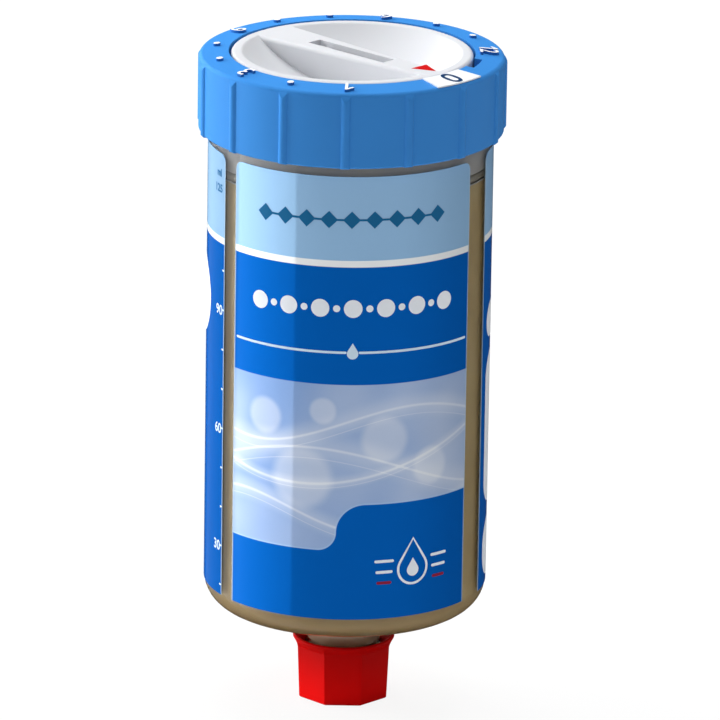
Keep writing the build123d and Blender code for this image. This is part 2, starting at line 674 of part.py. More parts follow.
PARTS = {
    "container": container(),
    "grease_charge": grease_charge(),
    "front_label": label(FRONT_LABEL_ANGLES),
    "rear_label": label(REAR_LABEL_ANGLES),
    "closure_cap": closure_cap(),
    "cap_seal": cap_seal(),
    "piston": piston(),
    "piston_seal": piston_seal(),
    "drive_housing": drive_housing(),
    "housing_seal": housing_seal(),
    "gas_cell": gas_cell(),
    "gas_cell_seal": gas_cell_seal(),
    "battery_left": battery(-1),
    "battery_right": battery(1),
    "battery_contact_left": battery_contact(-1),
    "battery_contact_right": battery_contact(1),
    "circuit_board": circuit_board(),
    "control_chip": control_chip(),
    "resistor_left": resistor(-1),
    "resistor_right": resistor(1),
    "top_ring": top_ring(),
    "zero_flag": zero_flag(),
    "dial": dial(),
    "pointer_mark": pointer_mark(),
    "dial_seal": dial_seal(),
    "contact_wiper": contact_wiper(),
}

os.makedirs("parts", exist_ok=True)
for node, shape in PARTS.items():
    export_step(shape, f"parts/{node}.step")
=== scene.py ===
"""Studio picture of an automatic grease lubricator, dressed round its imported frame.

The frame gives every rigid piece its shape and place. This script dresses those
pieces with procedural finishes and adds what the solids leave out: the grease,
the outlet's thread, the print on the labels and the raised marks of the scale.
The classes hold millimetres, and the meshes are in metres. Plan angles are in
degrees, counted from the front (-Y) towards +X, and +Z is up.
"""

import logging
import math
from collections.abc import Callable
from dataclasses import dataclass, field
from enum import Enum

import bpy
import numpy as np
from mathutils import Matrix, Vector


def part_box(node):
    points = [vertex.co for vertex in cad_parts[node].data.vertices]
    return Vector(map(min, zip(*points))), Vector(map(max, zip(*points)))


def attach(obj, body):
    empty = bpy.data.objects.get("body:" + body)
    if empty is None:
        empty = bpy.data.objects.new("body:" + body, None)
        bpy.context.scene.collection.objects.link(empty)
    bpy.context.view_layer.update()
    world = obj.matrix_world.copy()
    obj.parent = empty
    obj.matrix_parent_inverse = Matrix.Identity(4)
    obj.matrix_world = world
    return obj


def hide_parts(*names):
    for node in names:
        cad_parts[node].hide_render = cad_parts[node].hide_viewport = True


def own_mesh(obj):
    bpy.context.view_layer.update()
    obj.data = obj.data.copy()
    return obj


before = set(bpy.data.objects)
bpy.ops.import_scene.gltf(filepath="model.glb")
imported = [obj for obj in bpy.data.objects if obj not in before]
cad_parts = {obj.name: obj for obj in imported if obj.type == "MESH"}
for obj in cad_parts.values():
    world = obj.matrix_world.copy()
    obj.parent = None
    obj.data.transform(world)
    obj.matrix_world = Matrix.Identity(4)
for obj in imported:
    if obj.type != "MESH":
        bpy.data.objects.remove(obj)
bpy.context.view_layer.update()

MM = 0.001
TURN = 360.0
WHITE = (1.0, 1.0, 1.0)

log = logging.getLogger("lubricator")

Color = tuple[float, float, float]
Outline = list[tuple[float, float]]
Flat = tuple[np.ndarray, list]       # points and faces of flat artwork
Edge = Callable[[np.ndarray], np.ndarray]            # radii of an outline, from its angles

# corners of a bar's section: half widths across, and shares of its thickness
BAR_SECTION = np.array([(-0.5, 0.0), (0.5, 0.0), (0.5, 1.0), (-0.5, 1.0)])


# ------------------------------------------------------------------ the frame
def low_mm(node: str) -> Vector:
    """Lowest corner of a CAD node at rest, in millimetres."""
    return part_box(node)[0] / MM


def high_mm(node: str) -> Vector:
    """Highest corner of a CAD node at rest, in millimetres."""
    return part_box(node)[1] / MM


def radius_mm(node: str) -> float:
    """Outer radius of a turned CAD node, from its width along X."""
    return (high_mm(node).x - low_mm(node).x) / 2


def node_object(node: str) -> bpy.types.Object:
    """The Blender object of a CAD node."""
    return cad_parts[node]


# --------------------------------------------------------------- shader maths
class Shade:
    """A number that varies over a surface, with arithmetic that adds Math nodes."""

    def __init__(self, recipe: "Recipe", socket: bpy.types.NodeSocket) -> None:
        """Wraps a socket of a recipe's tree."""
        self.recipe = recipe
        self.socket = socket

    def math(self, operation: str, *values: "Shade | float") -> "Shade":
        """Adds a Math node.

        Args:
            operation: the node's operation.
            values: its inputs in order, as shades or numbers.

        Returns:
            The node's result.
        """
        sockets = {place: value for place, value in enumerate(values)}
        made = self.recipe.add("ShaderNodeMath", {"operation": operation}, sockets)
        return Shade(self.recipe, made.outputs[0])

    def __add__(self, other: "Shade | float") -> "Shade":
        """Sum."""
        return self.math("ADD", self, other)

    __radd__ = __add__

    def __sub__(self, other: "Shade | float") -> "Shade":
        """Difference."""
        return self.math("SUBTRACT", self, other)

    def __rsub__(self, other: float) -> "Shade":
        """Difference, from a number."""
        return self.math("SUBTRACT", other, self)

    def __mul__(self, other: "Shade | float") -> "Shade":
        """Product."""
        return self.math("MULTIPLY", self, other)

    __rmul__ = __mul__

    def __truediv__(self, other: "Shade | float") -> "Shade":
        """Quotient."""
        return self.math("DIVIDE", self, other)

    def __abs__(self) -> "Shade":
        """Size without sign."""
        return self.math("ABSOLUTE", self)

    def sine(self) -> "Shade":
        """Sine of an angle in radians."""
        return self.math("SINE", self)

    def root(self) -> "Shade":
        """Square root, with nothing below zero under it."""
        return self.math("SQRT", self.math("MAXIMUM", self, 0.0))

    def within(self, low: float, high: float) -> "Shade":
        """The value, held between two limits."""
        return self.math("MINIMUM", self.math("MAXIMUM", self, low), high)

    def larger(self, other: "Shade | float") -> "Shade":
        """The larger of two values."""
        return self.math("MAXIMUM", self, other)

    def above(self, edge: "Shade | float", soft: float) -> "Shade":
        """1 where the value lies above an edge and 0 below it, with a soft step.

        Args:
            edge: the value at the middle of the step.
            soft: the step's whole width.

        Returns:
            The mask.
        """
        ramp = ((self - edge) / soft + 0.5).within(0.0, 1.0)
        return ramp * ramp * (3.0 - 2.0 * ramp)

    def between(self, low: float, high: float, soft: float) -> "Shade":
        """1 between two edges and 0 outside them, with soft steps."""
        return self.above(low, soft) * (1.0 - self.above(high, soft))


class Recipe:
    """A material's node tree, filled through one node-making method."""

    def __init__(self, name: str) -> None:
        """Makes an empty material with an output node."""
        self.material = bpy.data.materials.new(name)
        self.material.use_nodes = True
        self.tree = self.material.node_tree
        self.tree.nodes.clear()
        self.output = self.add("ShaderNodeOutputMaterial")
        self._place: bpy.types.NodeSocket | None = None

    def add(
        self, kind: str, settings: dict | None = None, sockets: dict | None = None
    ) -> bpy.types.Node:
        """Adds one node.

        Args:
            kind: the node's type.
            settings: its properties, which are set first.
            sockets: values or links of its inputs, by name or number.

        Returns:
            The node.
        """
        node = self.tree.nodes.new(kind)
        for key, value in (settings or {}).items():
            setattr(node, key, value)
        for key, value in (sockets or {}).items():
            self._fill(node.inputs[key], value)
        return node

    def _fill(self, socket: bpy.types.NodeSocket, value: object) -> None:
        """Sets a socket to a number or a colour, or links it to a shade or a socket."""
        if isinstance(value, Shade):
            self.tree.links.new(value.socket, socket)
        elif isinstance(value, bpy.types.NodeSocket):
            self.tree.links.new(value, socket)
        elif isinstance(value, tuple) and len(value) == 3 and socket.type == "RGBA":
            socket.default_value = (*value, 1.0)
        else:
            socket.default_value = value

    def place(self) -> bpy.types.NodeSocket:
        """Object coordinates, in metres."""
        if self._place is None:
            self._place = self.add("ShaderNodeTexCoord").outputs["Object"]
        return self._place

    def axes(self) -> tuple[Shade, Shade, Shade]:
        """Object coordinates in millimetres, one shade for each axis."""
        parts = self.add("ShaderNodeSeparateXYZ", None, {0: self.place()})
        x, y, z = (Shade(self, socket) / MM for socket in parts.outputs)
        return x, y, z

    def plan_angle(self, x: Shade, y: Shade) -> Shade:
        """Plan angle of a point in degrees, from -180 to 180."""
        return x.math("ARCTAN2", x, 0.0 - y) * math.degrees(1.0)

    def noise(
        self, size: float, detail: float = 2.0, stretch: Color = WHITE, rough: float = 0.5
    ) -> Shade:
        """Soft random pattern from 0 to 1.

        Args:
            size: the width of its features, in millimetres.
            detail: octaves of finer pattern.
            stretch: factors on the three axes, below 1 to draw it out.
            rough: weight of the finer octaves.

        Returns:
            The pattern.
        """
        mapping = self.add("ShaderNodeMapping", None, {"Vector": self.place(), "Scale": stretch})
        sockets = {"Vector": mapping.outputs[0], "Scale": 1.0 / (size * MM), "Detail": detail}
        made = self.add("ShaderNodeTexNoise", None, {**sockets, "Roughness": rough})
        return Shade(self, made.outputs["Fac"])

    def mix(self, mask: Shade | float, first: object, second: object) -> bpy.types.NodeSocket:
        """Blend of two colours, from the first at 0 to the second at 1."""
        made = self.add("ShaderNodeMix", {"data_type": "RGBA"}, {0: mask, 6: first, 7: second})
        return made.outputs[2]

    def tinted(self, color: object, shade: Shade, low: float, high: float) -> bpy.types.NodeSocket:
        """The colour made darker and lighter by a pattern.

        Args:
            color: a colour or a colour socket.
            shade: the pattern, from 0 to 1.
            low: the colour's factor where the pattern is 0.
            high: its factor where the pattern is 1.

        Returns:
            The patterned colour.
        """
        grey = self.add("ShaderNodeCombineColor")
        level = shade * (high - low) + low
        for socket in grey.inputs:
            self._fill(socket, level)
        made = self.add(
            "ShaderNodeMix",
            {"data_type": "RGBA", "blend_type": "MULTIPLY"},
            {0: 1.0, 6: color, 7: grey.outputs[0]},
        )
        return made.outputs[2]

    def bump(self, height: Shade, depth: float, strength: float = 1.0) -> bpy.types.NodeSocket:
        """Bumped normal from a height pattern, with its full depth in millimetres."""
        made = self.add(
            "ShaderNodeBump", None, {"Strength": strength, "Distance": depth * MM, "Height": height}
        )
        return made.outputs[0]

    def shader(self, kind: str, sockets: dict) -> bpy.types.NodeSocket:
        """Adds a shader node and gives its output."""
        return self.add(kind, None, sockets).outputs[0]

    def blend(self, mask: Shade, first: object, second: object) -> bpy.types.NodeSocket:
        """Blend of two shaders, from the first at 0 to the second at 1."""
        return self.shader("ShaderNodeMixShader", {0: mask, 1: first, 2: second})

    def close(self, shader: bpy.types.NodeSocket) -> bpy.types.Material:
        """Ends the recipe with a shader and gives the material."""
        self.tree.links.new(shader, self.output.inputs["Surface"])
        return self.material

    def principled(self, sockets: dict) -> bpy.types.Material:
        """Ends the recipe with a Principled shader and gives the material."""
        return self.close(self.shader("ShaderNodeBsdfPrincipled", sockets))


# ------------------------------------------------------------------- finishes
@dataclass(frozen=True)
class Moulding:
    """Opaque moulded plastic with a fine spark-eroded texture.

    The tone drifts softly over the part, the roughness follows the texture,
    and the bump is the texture itself. Where set, painted shade darkens the top.
    """

    name: str
    color: Color
    roughness: float = 0.42
    grain: float = 0.22
    grain_depth: float = 0.006
    drift: float = 0.03
    specular: float = 0.4
    scatter: float = 0.0
    pale_foot: tuple[float, float, float] | None = None    # painted shade: darker towards the top; two heights and the upper one's share

    def build(self) -> bpy.types.Material:
        """Makes the material."""
        recipe = Recipe(self.name)
        drift = recipe.noise(11.0)
        grain = recipe.noise(self.grain, 3.0, rough=0.6)
        color: object = self.color
        # painted shade: the colour darkens from the lower height up to the upper one
        if self.pale_foot:
            foot, head, share = self.pale_foot
            rise = ((recipe.axes()[2] - foot) / (head - foot)).within(0.0, 1.0)
            color = recipe.tinted(color, rise, 1.0, share)
        return recipe.principled({
            "Base Color": recipe.tinted(color, drift, 1.0 - self.drift, 1.0 + self.drift),
            "Roughness": grain * 0.1 + (self.roughness - 0.05),
            "Normal": recipe.bump(grain, self.grain_depth),
            "Specular IOR Level": self.specular,
            "Subsurface Weight": self.scatter,
            "Subsurface Scale": 0.6 * MM,
        })


@dataclass(frozen=True)
class PaintedRelief:
    """Raised marks with white paint on their tops and bare blue plastic on their sides, darker than
    the ring's blue as painted shade.
    """

    name: str = "painted_relief"
    paint: Color = (0.88, 0.90, 0.92)
    # the sides' blue plastic, painted darker than the ring's own blue as shade
    bare: Color = (0.03, 0.17, 0.50)
    roughness: float = 0.45

    def build(self) -> bpy.types.Material:
        """Makes the material: the paint lies where a face looks upwards, and the sides keep a
        darkened blue, a painted shade.
        """
        recipe = Recipe(self.name)
        normal = recipe.add("ShaderNodeNewGeometry").outputs["True Normal"]
        parts = recipe.add("ShaderNodeSeparateXYZ", None, {0: normal})
        top = Shade(recipe, parts.outputs[2]).above(0.7, 0.3)
        grain = recipe.noise(0.12, 3.0, rough=0.6)
        return recipe.principled({
            "Base Color": recipe.tinted(recipe.mix(top, self.bare, self.paint), grain, 0.96, 1.02),
            "Roughness": grain * 0.1 + (self.roughness - 0.05),
            "Normal": recipe.bump(grain, 0.003),
            "Specular IOR Level": 0.1,
        })


@dataclass(frozen=True)
class ClearMoulding:
    """Thick clear plastic with faint flow lines down its length.

    Grease wets the inner wall and the bore, so light passes those faces
    unbent, and only the outer faces bend and mirror it.
    """

    name: str = "clear_moulding"
    color: Color = (0.90, 0.92, 0.92)
    roughness: float = 0.03
    index: float = 1.47
    wet_radius: float = 0.0          # a little more than the inner wall's
    wet_low: float = 0.0
    wet_high: float = 0.0
    wet_soft: float = 0.02
    bore: float = 0.0
    funnel: float = 0.0
    cloud_high: float = 0.0          # the thick outlet under this height looks cloudy
    cloud: Color = (0.52, 0.39, 0.27)
    cloud_share: float = 0.6

    def _wet(self, recipe: Recipe) -> Shade:
        """1 on the faces that touch the grease."""
        x, y, z = recipe.axes()
        reach = (x * x + y * y).root()
        level = z.between(self.wet_low, self.wet_high, self.wet_soft)
        wall = (1.0 - reach.above(self.wet_radius, self.wet_soft)) * level
        throat = (z - (self.wet_low - self.funnel)).within(0.0, self.funnel)
        return wall.larger(1.0 - reach.above(throat + self.bore, self.wet_soft))

    def build(self) -> bpy.types.Material:
        """Makes the material: flow lines vary the roughness and the bump."""
        recipe = Recipe(self.name)
        flow = recipe.noise(5.0, 2.0, (1.0, 1.0, 0.15))
        shader = recipe.shader("ShaderNodeBsdfPrincipled", {
            "Base Color": recipe.tinted(self.color, flow, 0.97, 1.0),
            "Roughness": flow * 0.03 + self.roughness,
            "Normal": recipe.bump(flow, 0.02, 0.3),
            "Transmission Weight": 1.0,
            "IOR": self.index,
        })
        if not self.wet_radius:
            return recipe.close(shader)
        milk = recipe.shader("ShaderNodeBsdfPrincipled", {
            "Base Color": recipe.tinted(self.cloud, flow, 0.85, 1.15),
            "Roughness": flow * 0.1 + 0.15,
        })
        outlet = (1.0 - recipe.axes()[2].above(self.cloud_high, 0.4)) * self.cloud_share
        body = recipe.blend(outlet, shader, milk)
        passing = recipe.shader("ShaderNodeBsdfTransparent", {"Color": WHITE})
        return recipe.close(recipe.blend(self._wet(recipe), body, passing))


@dataclass(frozen=True)
class Grease:
    """Soft amber-brown grease, smeared against the wall, with small swirls."""

    name: str = "grease"
    color: Color = (0.63, 0.475, 0.235)
    streak: Color = (0.52, 0.370, 0.165)
    foot: Color = (0.505, 0.352, 0.163)    # painted shade: darker grease below the labels, behind the thick base

    def build(self) -> bpy.types.Material:
        """Makes the material: long soft smears change its tone, gloss and surface, and painted
        shade darkens it below the labels.
        """
        recipe = Recipe(self.name)
        smear = recipe.noise(9.0, 3.0, (1.0, 1.0, 0.35))
        swirl = recipe.noise(2.2, 2.0)
        color = recipe.mix(smear.above(0.5, 0.5), self.color, self.streak)
        # painted shade: the grease turns darker below the labels' lower edge
        edge = low_mm("front_label").z - 0.3
        color = recipe.mix(recipe.axes()[2].above(edge, 1.2), self.foot, color)
        return recipe.principled({
            "Base Color": recipe.tinted(color, swirl, 0.94, 1.05),
            "Roughness": swirl * 0.12 + 0.3,
            "Normal": recipe.bump(smear + swirl * 0.3, 0.25),
            "Specular IOR Level": 0.45,
            "Subsurface Weight": 0.1,
            "Subsurface Radius": (1.0, 0.6, 0.25),
            "Subsurface Scale": 1.2 * MM,
        })


@dataclass(frozen=True)
class SatinMetal:
    """Plated or rolled metal with fine brushing along one axis."""

    name: str
    color: Color
    brush: Color = (1.0, 0.05, 1.0)
    roughness: float = 0.28

    def build(self) -> bpy.types.Material:
        """Makes the material: the brushing drives the roughness, tone and bump."""
        recipe = Recipe(self.name)
        brushed = recipe.noise(0.12, 3.0, self.brush)
        patch = recipe.noise(3.0)
        return recipe.principled({
            "Base Color": recipe.tinted(self.color, patch, 0.9, 1.04),
            "Roughness": brushed * 0.16 + self.roughness,
            "Normal": recipe.bump(brushed, 0.004),
            "Metallic": 1.0,
        })


@dataclass(frozen=True)
class TrackBoard:
    """Green laminate with its woven glass showing as a faint grid."""

    name: str = "board_laminate"
    color: Color = (0.018, 0.15, 0.06)
    weave: float = 0.7

    def build(self) -> bpy.types.Material:
        """Makes the material: two crossed sine waves stand for the glass weave."""
        recipe = Recipe(self.name)
        x, y, _ = recipe.axes()
        rate = 2.0 * math.pi / self.weave
        weave = ((x * rate).sine() * (y * rate).sine()) * 0.5 + 0.5
        return recipe.principled({
            "Base Color": recipe.tinted(self.color, weave, 0.85, 1.12),
            "Roughness": weave * 0.08 + 0.3,
            "Normal": recipe.bump(weave, 0.01),
            "Specular IOR Level": 0.5,
        })


@dataclass(frozen=True)
class BandedResistor:
    """Lacquered body with painted bands across it."""

    name: str = "resistor_lacquer"
    body: Color = (0.55, 0.40, 0.22)
    metal: Color = (0.60, 0.60, 0.58)
    body_reach: float = 2.25         # half the body's length; past it are the leads
    bands: tuple[tuple[float, Color], ...] = (
        (-1.3, (0.25, 0.10, 0.03)),
        (-0.5, (0.02, 0.02, 0.02)),
        (0.3, (0.60, 0.05, 0.02)),
        (1.3, (0.60, 0.45, 0.15)),
    )
    band_width: float = 0.42

    def build(self) -> bpy.types.Material:
        """Makes the material: each band is a stretch along the resistor's length (Y)."""
        recipe = Recipe(self.name)
        _, y, _ = recipe.axes()
        middle = (low_mm("resistor_left").y + high_mm("resistor_left").y) / 2
        along = y - middle
        color: object = self.body
        for place, paint in self.bands:
            edge = self.band_width / 2
            color = recipe.mix(along.between(place - edge, place + edge, 0.05), color, paint)
        metal = abs(along).above(self.body_reach, 0.05)
        gloss = recipe.noise(0.5)
        return recipe.principled({
            "Base Color": recipe.mix(metal, color, self.metal),
            "Metallic": metal,
            "Roughness": gloss * 0.1 + 0.2,
            "Normal": recipe.bump(gloss, 0.01),
        })


class LabelSide(Enum):
    """Which of the two labels a print is for."""

    FRONT = "front"
    REAR = "rear"


@dataclass(frozen=True)
class LabelPrint:
    """Glossy printed film: fields of colour set out by height and plan angle.

    Heights are measured up from the label's lower edge, and arc lengths along
    the wall from plan angle 0.
    """

    side: LabelSide
    wall: float                      # radius of the printed face
    foot: float                      # height of the label's lower edge
    edges: tuple[float, float]       # first and last plan angle, from -180 to 180
    deep: Color = (0.0012, 0.118, 0.50)
    pale: Color = (0.325, 0.545, 0.805)
    stripe: Color = (0.98, 1.0, 1.0)
    mist: Color = (0.235, 0.385, 0.700)
    silver: Color = (0.740, 0.800, 0.920)
    ribbon: Color = (0.93, 0.96, 1.0)
    rim_light: Color = (0.42, 0.66, 0.95)
    film_edge: Color = (0.50, 0.66, 0.80)
    stripe_low: float = 61.55
    stripe_high: float = 62.68
    view_high: float = 41.17
    step_low: float = 12.12          # the view's lower edge, left of its step
    step_angle: float = -3.6         # plan angle where that edge stands upright
    step_round: tuple[float, float] = (3.2, 4.88)    # lower and upper corner
    edge_soft: float = 0.12
    film_width: float = 0.22         # bare film along the label's two ends
    haze: tuple[float, float, float] = (0.018, 0.012, 0.62)    # along, down, at the origin
    band_glow: float = 0.25          # light that a ribbon's parts and a halo add
    core_glow: float = 0.34
    line_glow: float = 0.25
    halo_glow: float = 0.32
    # height of the middle, swing, rate, phase and width of each ribbon
    ribbons: tuple[tuple[float, float, float, float, float], ...] = (
        (33.6, 3.4, 0.11, 0.3, 1.5),
        (25.4, 4.6, 0.085, 2.1, 1.9),
        (18.0, 3.0, 0.13, 4.0, 1.3),
        (29.6, 6.0, 0.06, 5.2, 0.8),
    )
    # arc length, height and radius of each halo
    halos: tuple[tuple[float, float, float], ...] = (
        (-7.5, 24.5, 6.0),
        (6.5, 31.5, 4.6),
        (15.0, 26.0, 3.8),
        (-14.5, 34.5, 3.6),
        (-4.0, 36.5, 2.6),
    )

    def _view(self, recipe: Recipe, along: Shade, up: Shade) -> bpy.types.NodeSocket:
        """Pale field with soft wavy ribbons and round halos.

        Each ribbon follows height = middle + swing * sin(rate * along + phase).
        Each halo is a disc that fades towards its edge.
        """
        rise, fall, start = self.haze
        haze = (along * rise - up * fall + start).within(0.0, 1.0)
        cloud = recipe.noise(14.0, 1.0).above(0.5, 0.6)
        color = recipe.mix((haze * 0.4 + cloud * 0.35).within(0.0, 1.0), self.mist, self.silver)
        glow: Shade | float = 0.0
        for middle, swing, rate, phase, width in self.ribbons:
            off = up - ((along * rate + phase).sine() * swing + middle)
            band = 1.0 - abs(off).above(width, 2.0 * width)
            core = 1.0 - abs(off).above(0.2, 0.36)
            line = 1.0 - abs(off + width).above(0.07, 0.12)
            glow = band * self.band_glow + core * self.core_glow + line * self.line_glow + glow
        for across, height, size in self.halos:
            aside, over = along - across, up - height
            reach = (aside * aside + over * over).root()
            glow = (1.0 - reach.above(size * 0.85, size * 0.35)) * self.halo_glow + glow
        return recipe.mix(glow.within(0.0, 0.85), color, self.ribbon)

    def _above_step(self, along: Shade, up: Shade) -> Shade:
        """Distance above the view's lower edge, negative below it.

        The edge runs level, round a lower corner, up and round an upper corner,
        and level again. Each corner is the distance to its centre against its
        radius, and the two meet at the height where the edge stands upright.
        """
        low_round, high_round = self.step_round
        place = math.radians(self.step_angle) * self.wall
        meeting = self.step_low + low_round
        aside = (along - (place - low_round)).larger(0.0)
        under = (meeting - up).larger(0.0)
        lower = low_round - (aside * aside + under * under).root()
        aside = (place + high_round - along).larger(0.0)
        over = (up - meeting).larger(0.0)
        upper = (aside * aside + over * over).root() - high_round
        return lower + (upper - lower) * up.above(meeting, 0.001)

    def _film(self, angle: Shade) -> Shade:
        """1 on the bare film along the label's two ends, in degrees of plan angle."""
        first, last = self.edges
        inset = math.degrees(self.film_width / self.wall)
        if self.side is LabelSide.FRONT:
            return abs(angle - (first + last) / 2).above((last - first) / 2 - inset, inset)
        near = 1.0 - abs(angle).above(abs(last) + inset, inset)
        return near + (1.0 - angle.above(first + inset, inset)) * angle.above(0.0, 1.0)

    def build(self) -> bpy.types.Material:
        """Makes the material: stripe and view over the two fields, a fine grain and a gloss."""
        recipe = Recipe(f"{self.side.value}_label_print")
        soft = self.edge_soft
        x, y, z = recipe.axes()
        angle = recipe.plan_angle(x, y)
        up = z - self.foot
        along = angle * (math.radians(1.0) * self.wall)
        color: object = recipe.mix(up.above(self.stripe_high, soft), self.stripe, self.pale)
        color = recipe.mix(up.above(self.stripe_low, soft), self.deep, color)
        if self.side is LabelSide.FRONT:
            clear = self._above_step(along, up)
            rim = (1.0 - clear.above(0.22, 0.16)) * 0.6
            view = recipe.mix(rim, self._view(recipe, along, up), self.rim_light)
            shown = clear.above(0.0, soft) * (1.0 - up.above(self.view_high, soft))
            color = recipe.mix(shown, color, view)
        color = recipe.mix(self._film(angle) * 0.75, color, self.film_edge)
        grain = recipe.noise(0.3, 2.0)
        wave = recipe.noise(16.0, 1.0)
        return recipe.principled({
            "Base Color": recipe.tinted(color, grain, 0.985, 1.015),
            "Roughness": grain * 0.03 + 0.07,
            "Normal": recipe.bump(wave, 0.03, 0.25),
            "Metallic": 0.25,
            "Specular IOR Level": 0.01,
        })


def ink(name: str, color: Color, roughness: float = 0.35) -> Moulding:
    """Thin printed ink with a very fine grain."""
    return Moulding(name, color, roughness, 0.12, 0.002, specular=0.1)


class Finishes:
    """Builds each finish once and hands it out by name."""

    RECIPES: dict[str, object] = {
        "clear": ClearMoulding(),
        "grease": Grease(),
        "blue": Moulding("blue_moulding", (0.046, 0.262, 0.700), 0.40, specular=0.08),
        "white": Moulding(
            "white_moulding", (0.685, 0.695, 0.725), 0.38, specular=0.12, scatter=0.03
        ),
        "painted_relief": PaintedRelief(),
        "mark_white": Moulding("mark_white", (0.88, 0.90, 0.92), 0.45, 0.12, 0.003, specular=0.1),
        "print_navy": ink("print_navy", (0.006, 0.045, 0.14)),
        "print_teal": ink("print_teal", (0.007, 0.132, 0.310)),
        "print_pale": ink("print_pale", (0.70, 0.84, 0.97)),
        "print_red": ink("print_red", (0.30, 0.012, 0.045), 0.30),
        "print_white": ink("print_white", (0.92, 0.95, 1.0), 0.30),
        "red": Moulding(
            "red_moulding", (0.88, 0.003, 0.003), 0.32, 0.3, 0.006, 0.04, 0.03,
            # painted shade: the cap darkens towards its top, under the container's overhang
            pale_foot=(1.5, 9.5, 0.58),
        ),
        "pointer_red": Moulding(
            "pointer_red", (0.62, 0.008, 0.008), 0.35, 0.15, 0.003, specular=0.1
        ),
        "piston": Moulding("piston_moulding", (0.56, 0.54, 0.52), 0.45, specular=0.15),
        "piston_rubber": Moulding("piston_rubber", (0.37, 0.34, 0.28), 0.6, 0.12, 0.01, 0.2, 0.2),
        "grey": Moulding("grey_moulding", (0.50, 0.50, 0.49), 0.5),
        "rubber": Moulding("seal_rubber", (0.012, 0.012, 0.013), 0.6, 0.12, 0.01, 0.2, 0.3),
        "pad": Moulding("seal_pad", (0.60, 0.59, 0.55), 0.8, 0.35, 0.03, 0.08, 0.2),
        "resin": Moulding("chip_resin", (0.012, 0.012, 0.013), 0.5, 0.15, 0.012, 0.1),
        "steel": SatinMetal("cell_steel", (0.60, 0.60, 0.58)),
        "brass": SatinMetal("contact_brass", (0.70, 0.50, 0.20)),
        "copper": SatinMetal("track_copper", (0.80, 0.46, 0.28), roughness=0.34),
        "board": TrackBoard(),
        "resistor": BandedResistor(),
    }

    def __init__(self) -> None:
        """Starts with nothing built."""
        self.made: dict[str, bpy.types.Material] = {}

    def get(self, name: str) -> bpy.types.Material:
        """The material of a finish, built the first time it is asked for."""
        if name not in self.made:
            self.made[name] = self.RECIPES[name].build()
        return self.made[name]

    def dress(self, finish: str, *nodes: str) -> None:
        """Gives a finish to CAD nodes, through their material slots."""
        for node in nodes:
            set_material(node_object(node), self.get(finish))


def set_material(piece: bpy.types.Object, material: bpy.types.Material) -> None:
    """Puts one material in every slot of a piece."""
    if not piece.material_slots:
        piece.data.materials.append(material)
    for place in piece.material_slots:
        place.material = material


# -------------------------------------------------------------------- meshes
def grid_faces(rows: int, columns: int, closed_rows: bool, closed_columns: bool) -> np.ndarray:
    """Quads of a grid of points that is numbered row by row.

    Args:
        rows: number of rows of points.
        columns: number of points in a row.
        closed_rows: whether the last row joins the first.
        closed_columns: whether each row's last point joins its first.

    Returns:
        An array of four point numbers for each face.
    """
    row = np.arange(rows if closed_rows else rows - 1)[:, None]
    column = np.arange(columns if closed_columns else columns - 1)[None, :]
    next_row = (row + 1) % rows
    next_column = (column + 1) % columns
    corners = (
        row * columns + column,
        row * columns + next_column,
        next_row * columns + next_column,
        next_row * columns + column,
    )
    shape = (row.size, column.size)
    return np.stack([np.broadcast_to(corner, shape) for corner in corners], -1).reshape(-1, 4)


def fan_faces(centre: int, start: int, count: int, upwards: bool) -> list:
    """Triangles from a centre point to a circle of points that are numbered in a row.

    Args:
        centre: number of the centre point.
        start: number of the circle's first point.
        count: number of points in the circle.
        upwards: whether the faces look up, for a circle that runs anticlockwise.

    Returns:
        Three point numbers for each face.
    """
    around = start + np.arange(count)
    after = start + (np.arange(count) + 1) % count
    pair = (around, after) if upwards else (after, around)
    return np.stack([np.full(count, centre), *pair], -1).tolist()


def round_axis(reach: np.ndarray, turn: np.ndarray, level: np.ndarray) -> np.ndarray:
    """Points (reach sin turn, -reach cos turn, level), turned about the Z axis."""
    return np.stack([reach * np.sin(turn), -reach * np.cos(turn), level], -1)


def make_piece(
    name: str, points: np.ndarray, faces: list, smooth: float = 40.0
) -> bpy.types.Object:
    """Puts points and faces into a new object, at the origin.

    Args:
        name: the piece's name.
        points: its points in millimetres, one to a row.
        faces: point numbers, one sequence to a face.
        smooth: edges up to this angle in degrees are shaded smooth.

    Returns:
        The object.
    """
    mesh = bpy.data.meshes.new(name)
    mesh.from_pydata((points * MM).tolist(), [], [list(map(int, face)) for face in faces])
    mesh.validate()
    mesh.update()
    mesh.shade_smooth()
    mesh.set_sharp_from_angle(angle=math.radians(smooth))
    piece = bpy.data.objects.new(name, mesh)
    bpy.context.scene.collection.objects.link(piece)
    return piece


def tube_faces(rows: int, columns: int) -> list:
    """Quads of a tube of rows, closed round each row, with a flat face on each end."""
    faces = grid_faces(rows, columns, False, True).tolist()
    faces.append(list(range(columns))[::-1])
    faces.append(list(range((rows - 1) * columns, rows * columns)))
    return faces


